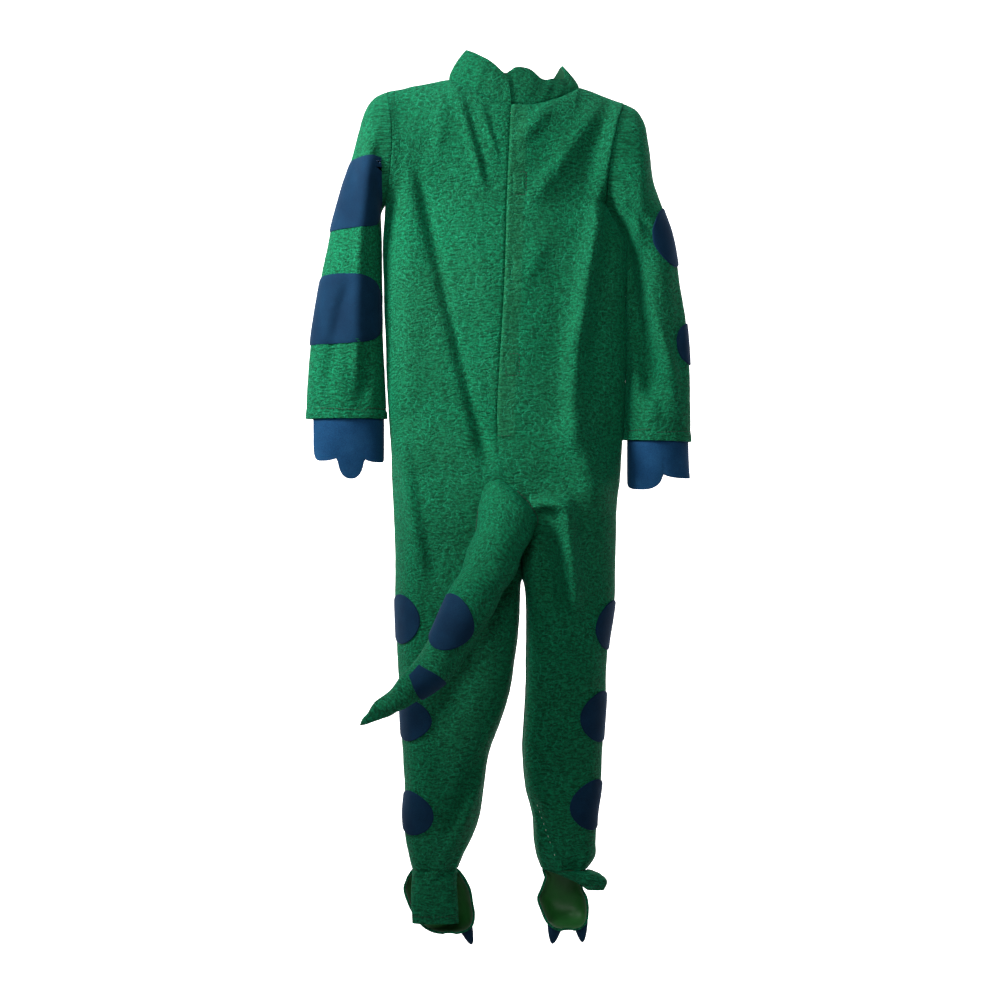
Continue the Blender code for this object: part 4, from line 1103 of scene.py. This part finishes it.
def closed_disc(name, surface, normals):
    """A felt disc from rings of points, the first of them its centre; its rim is turned down."""
    rings, spokes = surface.shape[0], surface.shape[1] - 1
    rim = smoothstep(0.9, 1.0, np.linspace(0, 1, rings)[:, None])
    puff = SPOT_LIFT + SPOT_CLOTH * (1 - 0.55 * rim) + 0.25 * unevenness(surface)
    top = surface[:, :-1] + normals[:, :-1] * puff[:, :-1, None]
    low = surface[:, :-1] + normals[:, :-1] * (SPOT_LIFT * 0.5)
    points = np.concatenate([top[1:].reshape(-1, 3), low[1:].reshape(-1, 3), top[:1, 0], low[:1, 0]])
    count = (rings - 1) * spokes
    faces = []
    for layer, turned in ((0, False), (count, True)):
        middle = 2 * count + (1 if turned else 0)
        for k in range(spokes):
            m = (k + 1) % spokes
            ring = [middle, layer + k, layer + m]
            faces.append(ring[::-1] if turned else ring)
            for i in range(rings - 2):
                a, b = layer + i * spokes, layer + (i + 1) * spokes
                quad = [a + k, b + k, b + m, a + m]
                faces.append(quad[::-1] if turned else quad)
    last = (rings - 2) * spokes
    for k in range(spokes):
        m = (k + 1) % spokes
        faces.append([last + k, count + last + k, count + last + m, last + m])
    piece = mesh_object(name, points, faces, (FELT_BLUE,))
    piece.data.validate()
    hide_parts(name)


def make_tube(name, points, finishes, cells=None):
    """A closed solid from rows of rings, with its two ends filled."""
    rows, columns = points.shape[:2]
    index = np.arange(rows * columns).reshape(rows, columns)
    after = np.roll(index, -1, axis=1)
    quads = np.stack([index[:-1], after[:-1], after[1:], index[1:]], -1).reshape(-1, 4)
    faces = quads.tolist() + [index[0].tolist()[::-1], index[-1].tolist()]
    net = None if cells is None else np.stack(cells, -1).reshape(-1, 3)
    return mesh_object(name, points.reshape(-1, 3), faces, finishes, cells=net)


def bisected(low, high, steps, holds):
    """The ends of a short stretch within which holds turns true."""
    for _ in range(steps):
        middle = (low + high) / 2
        low, high = (low, middle) if holds(middle) else (middle, high)
    return low, high


def started(points, outside, last, columns):
    """For each column of points, how far along it first lies outside what it is sewn to."""
    starts = []
    for c in range(columns):
        angle = np.array([2 * math.pi * c / columns])

        def clear(at):
            return outside(points(np.array([at]), angle)[0])

        at, step = 0.0, last / 60
        while at < last and not clear(at):
            at += step
        starts.append(bisected(max(0.0, at - step), at, 10, clear)[1])
    return np.array(starts)


def make_tail(surfaces):
    """The stuffed tail, from where it meets the seat to its tip."""
    table = keyed(TAIL)
    last = len(TAIL) - 1.0

    def points(at, angle):
        centre = np.stack([curve(table, axis, "at", at) for axis in "xyz"], -1)
        ahead = np.stack([
            curve(table, axis, "at", np.minimum(last, at + 0.05))
            - curve(table, axis, "at", np.maximum(0, at - 0.05)) for axis in "xyz"
        ], -1)
        tip = np.radians(curve(table, "tip_degrees", "at", at))
        side = np.stack([np.cos(tip), 0 * tip, -np.sin(tip)], -1)
        up = unit(np.cross(side, ahead))
        closing = np.sqrt(np.clip(1 - smoothstep(last - 0.35, last, at) * 0.995, 0, 1))
        width = (curve(table, "half_width", "at", at) * closing * np.cos(angle))[..., None]
        depth = (curve(table, "half_depth", "at", at) * closing * np.sin(angle))[..., None]
        return centre + width * side + depth * up

    tree = tree_of([surfaces["back_left"][0], surfaces["back_right"][0]])

    def outside(point):
        hit, _, _, _ = tree.ray_cast(Vector((point[0], -400, point[2])), Vector((0, 1, 0)))
        return hit is None or point[1] < hit.y - 0.3

    starts = started(points, outside, last, TAIL_COLUMNS)
    t = np.linspace(0, 1, TAIL_ROWS + 1)[:, None]
    angle = (2 * np.pi * np.arange(TAIL_COLUMNS) / TAIL_COLUMNS)[None, :]
    at = starts[None, :] * (1 - t) + last * t
    surface = points(at, angle + 0 * at)
    wrapped = np.concatenate([surface[:, -1:], surface, surface[:, :1]], axis=1)
    normals = grid_normals(wrapped, 1)[:, 1:-1]
    middle = surface.mean(axis=1, keepdims=True)
    normals = normals * np.sign(((surface - middle) * normals).sum())
    around = arc_lengths(surface, 1)
    down = arc_lengths(surface, 0)[:, :1] + 0 * around
    cells = net_cells(around * 0.9, down)
    fade = smoothstep(0, 0.04, t) * smoothstep(1.0, 0.93, t)
    seam = ridge(np.minimum(around, around[:, -1:] - around), -TAIL_SEAM_DEPTH, TAIL_SEAM_WIDTH)
    dents = TAIL_DENTS * np.sin(at * 5.2 + 1.1 * np.sin(angle)) * np.sin(2 * angle + 0.6 * at)
    relief = (unevenness(surface) + seam + dents) * fade
    tail = make_tube("tail", surface + normals * relief[..., None], (PLUSH,), cells)
    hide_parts("tail")
    return surface, normals


def make_claw(row, foot):
    """A small stuffed claw sewn to the toe end."""
    root = np.array((row.x, row.y, row.z), float)
    tip = np.array((row.tip_x, row.tip_y, row.tip_z), float)
    surface = foot[0]
    tree = tree_of([surface])

    def points(at, angle):
        radius = row.radius * np.maximum(0.04, np.sqrt(np.clip(1 - at**2, 0, 1)) * (1 - 0.3 * at))
        ring = np.stack([np.cos(angle), 0.8 * np.sin(angle), 0 * angle], -1)
        return root + (tip - root) * at[..., None] + radius[..., None] * ring

    def outside(point):
        hit, normal, _, _ = tree.find_nearest(Vector(point))
        middle = Vector(surface.mean(axis=(0, 1)))
        if normal.dot(hit - middle) < 0:
            normal = -normal
        return (Vector(point) - hit).dot(normal) > 0.4

    starts = started(points, outside, 1.0, CLAW_COLUMNS)
    t = np.linspace(0, 1, CLAW_ROWS + 1)[:, None] ** 0.8
    at = starts[None, :] * (1 - t) + t
    angle = (2 * np.pi * np.arange(CLAW_COLUMNS) / CLAW_COLUMNS)[None, :] + 0 * at
    claw = make_tube(row.name, points(at, angle), (FELT_BLUE,))
    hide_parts(row.name)


def lobe_drop(mitt, share):
    """How far below the cuff the scalloped edge reaches at a share of the width."""
    start, first = 0.0, mitt.start_drop
    for lobe in mitt.lobes:
        last = mitt.end_drop if lobe is mitt.lobes[-1] else mitt.notch_drop
        if share <= lobe.end:
            within = (share - start) / (lobe.end - start)
            round_off = max(0.0, 1 - abs(2 * within - 1) ** LOBE_SQUARENESS) ** 0.5
            base = first + (last - first) * within
            return base + (lobe.drop - base) * round_off
        start, first = lobe.end, last
    return mitt.end_drop


def make_mitt(side):
    """A hand cover: felt hung inside the cuff, its lower edge scalloped in lobes."""
    word, mitt = SIDE_WORD[side], MITTS[side]
    share = np.linspace(0, 1, MITT_COLUMNS + 1)
    angle = 2 * np.pi * (mitt.start_cell + (mitt.end_cell - mitt.start_cell) * share) / RING_CELLS
    rings = keyed(SLEEVE[side])
    cuff = sleeve_points(side, rings, np.ones_like(angle), angle)
    centre = np.array([(SLEEVE[side][-1].outer_x + SLEEVE[side][-1].inner_x) / 2, 0, 0])
    out = unit((cuff - centre) * (1, 1, 0))
    cuff = cuff - out * (CLOTH + mitt.clearance)
    drop = np.array([lobe_drop(mitt, s) for s in share])
    t = np.linspace(0, 1, MITT_ROWS + 1)[:, None]
    fall = -MITT_HIDDEN + (drop[None, :] + MITT_HIDDEN) * t
    curl = 2.5 * np.sin(share * 2 * np.pi * 1.5)[None, :] * t**2
    surface = cuff[None] + out[None] * curl[..., None]
    surface[..., 2] = cuff[None, :, 2] - fall
    normals = out[None] + 0 * surface
    piece = shell("mitt_" + word, surface, normals, (MITT_BLUE_PAINTED_LIGHT,), FELT, relief=0.3 * unevenness(surface))
    declare("mitt_" + word)


def thread(name, runs, finish, stitch=STITCH, gap=STITCH_GAP, radius=THREAD_RADIUS):
    """Stitches laid along runs of (point, normal) pairs: short thick dashes with rounded ends."""
    points, faces = [], []
    sides = 6
    profile = ((0.0, 0.25), (0.18, 1.0), (0.82, 1.0), (1.0, 0.25))
    for run in runs:
        line = np.array([tuple(p) for p, _ in run])
        ups = np.array([tuple(q) for _, q in run])
        length = np.insert(np.cumsum(np.linalg.norm(np.diff(line, axis=0), axis=1)), 0, 0)
        at = 0.0
        while at + stitch <= length[-1]:
            ends = [
                np.array([np.interp(s, length, line[:, i]) for i in range(3)]) for s in (at, at + stitch)
            ]
            up = np.array([np.interp(at + stitch / 2, length, ups[:, i]) for i in range(3)])
            up /= np.linalg.norm(up)
            ahead = (ends[1] - ends[0]) / max(1e-6, np.linalg.norm(ends[1] - ends[0]))
            side = np.cross(ahead, up)
            first = len(points)
            for share, width in profile:
                centre = ends[0] + (ends[1] - ends[0]) * share + up * (0.1 + 0.5 * radius)
                for k in range(sides):
                    a = 2 * math.pi * k / sides
                    points.append(centre + radius * width * (math.cos(a) * side + math.sin(a) * up))
            for j in range(len(profile) - 1):
                for k in range(sides):
                    m = (k + 1) % sides
                    a, b = first + j * sides, first + (j + 1) * sides
                    faces.append([a + k, a + m, b + m, b + k])
            faces.append([first + k for k in range(sides)][::-1])
            faces.append([first + (len(profile) - 1) * sides + k for k in range(sides)])
            at += stitch + gap
    piece = mesh_object(name, points, faces, (finish,))


def displaced_tree(names):
    """A tree of the finished outer faces, so that stitches lie on the embossed plush."""
    points, faces, first = [], [], 0
    for name in names:
        mesh = bpy.data.objects[name].data
        flat = np.empty(len(mesh.vertices) * 3, np.float32)
        mesh.vertices.foreach_get("co", flat)
        points += (flat.reshape(-1, 3) / MM).tolist()
        faces += [[first + i for i in polygon.vertices] for polygon in mesh.polygons]
        first += len(mesh.vertices)
    return BVHTree.FromPolygons(points, faces)


def make_stitching(surfaces):
    """The stitches of the closure, tabs, cuffs and heel flaps, dark stitches of painted shadow round the
    tail's root seam, and the loose ankle threads.
    """
    back = displaced_tree(["back_left", "back_right"])

    def on_back(corners, spacing=1.5):
        run = []
        for (x0, z0), (x1, z1) in zip(corners[:-1], corners[1:]):
            count = max(2, int(math.hypot(x1 - x0, z1 - z0) / spacing))
            for i in range(count):
                run.append(back_point(back, x0 + (x1 - x0) * i / count, z0 + (z1 - z0) * i / count))
        run.append(back_point(back, *corners[-1]))
        return run

    runs = []
    for tab in TABS:
        left, right = tab.left, tab.left + tab.width
        low = tab.top - tab.height
        runs.append(on_back([(left, tab.top), (right, tab.top), (right, low), (left, low), (left, tab.top)]))
    runs.append(on_back(CLOSURE_END_STITCHES))
    thread("closure_stitches", runs, DARK_THREAD)
    for word in SIDE_WORD.values():
        surface, normals = surfaces["sleeve_" + word]
        rise = arc_lengths(surface, 0)
        run = []
        for c in range(surface.shape[1]):
            r = int(np.argmin(np.abs(rise[-1, c] - rise[:, c] - CUFF_HEM)))
            run.append((surface[r, c] - normals[r, c] * 0.9, normals[r, c]))
        thread("cuff_stitches_" + word, [run], DARK_THREAD, stitch=3.2, gap=1.0)
        heel, heel_normals = surfaces["heel_flap_" + word]
        row = heel.shape[0] - 8
        run = [
            (heel[row, c] - heel_normals[row, c] * 0.2, heel_normals[row, c])
            for c in range(4, heel.shape[1] - 4)
        ]
        thread("heel_stitches_" + word, [run], DARK_THREAD)
    # Painted shadow: the tail's root seam is drawn as a near-unbroken dark cord for the crease there
    tail, tail_normals = surfaces["tail"]
    ring = [(tail[1, c], tail_normals[1, c]) for c in range(-TAIL_COLUMNS // 4, TAIL_COLUMNS // 2)]
    thread("tail_seam", [ring], DARK_THREAD, stitch=5.0, gap=0.4, radius=0.9)
    ankle = on_back(ANKLE_THREADS)
    thread("inseam_threads", [ankle], PALE_THREAD, stitch=2.4, gap=6.0, radius=0.35)


def make_stage():
    """A pale floor that sweeps up behind the suit, soft lights and the photograph's camera."""
    floor_z = CAD_BOX[0][2] - 0.35
    profile = [(-BACKDROP_WIDTH, 0.0), (BACKDROP_DEPTH, 0.0)]
    for i in range(1, BEND_STEPS + 1):
        a = math.pi / 2 * i / BEND_STEPS
        profile.append((BACKDROP_DEPTH + BACKDROP_BEND * math.sin(a), BACKDROP_BEND * (1 - math.cos(a))))
    profile.append((BACKDROP_DEPTH + BACKDROP_BEND, BACKDROP_HEIGHT))
    points = [(x, y, floor_z + z) for y, z in profile for x in (-BACKDROP_WIDTH, BACKDROP_WIDTH)]
    faces = [[2 * i, 2 * i + 1, 2 * i + 3, 2 * i + 2] for i in range(len(profile) - 1)]
    mesh = bpy.data.meshes.new("floor")
    mesh.from_pydata(points, [], faces)
    mesh.shade_smooth()
    mesh.materials.append(material("paper", paper_nodes))
    floor = bpy.data.objects.new("floor", mesh)
    bpy.context.scene.collection.objects.link(floor)

    for light in LIGHTS:
        data = bpy.data.lights.new(light.name, "AREA")
        data.size = light.size
        data.energy = light.power
        data.spread = math.radians(light.spread)
        lamp = bpy.data.objects.new(light.name, data)
        lamp.location = light.place
        aim = Vector(light.aim) - Vector(light.place)
        lamp.rotation_euler = aim.to_track_quat("-Z", "Y").to_euler()
        bpy.context.scene.collection.objects.link(lamp)

    world = bpy.data.worlds.new("studio")
    world.use_nodes = True
    background = world.node_tree.nodes["Background"]
    background.inputs["Color"].default_value = (0.95, 0.97, 1.0, 1)
    background.inputs["Strength"].default_value = 0.035
    bpy.context.scene.world = world
    bpy.context.scene.view_settings.view_transform = "Standard"

    camera_data = bpy.data.cameras.new("camera")
    camera_data.sensor_width = SENSOR_WIDTH
    camera_data.lens = SENSOR_WIDTH * -CAMERA_PLACE[1] / PICTURE_WIDTH
    camera = bpy.data.objects.new("camera", camera_data)
    camera.location = CAMERA_PLACE
    camera.rotation_euler = (math.pi / 2, 0, 0)
    bpy.context.scene.collection.objects.link(camera)
    bpy.context.scene.camera = camera


def main():
    """Builds the stage, then the cloth, then what is sewn to it."""
    make_stage()
    surfaces = make_body()
    make_underlap(surfaces)
    surfaces["tail"] = make_tail(surfaces)
    for side in (LEFT, RIGHT):
        make_mitt(side)
    for row in CLAWS:
        make_claw(row, surfaces["foot_upper_" + SIDE_WORD[row.foot]])
    hosts = {
        "sleeve_left": [surfaces["sleeve_left"][0]],
        "sleeve_right": [surfaces["sleeve_right"][0]],
        "leg_left": [surfaces["back_left"][0], surfaces["front_left"][0]],
        "leg_right": [surfaces["back_right"][0], surfaces["front_right"][0]],
        "tail": [surfaces["tail"][0]],
    }
    trees = {name: tree_of(found) for name, found in hosts.items()}
    for row in SPOTS:
        make_spot(row, trees[row.host])
    for row in BANDS:
        make_band(row)
    make_stitching(surfaces)


main()
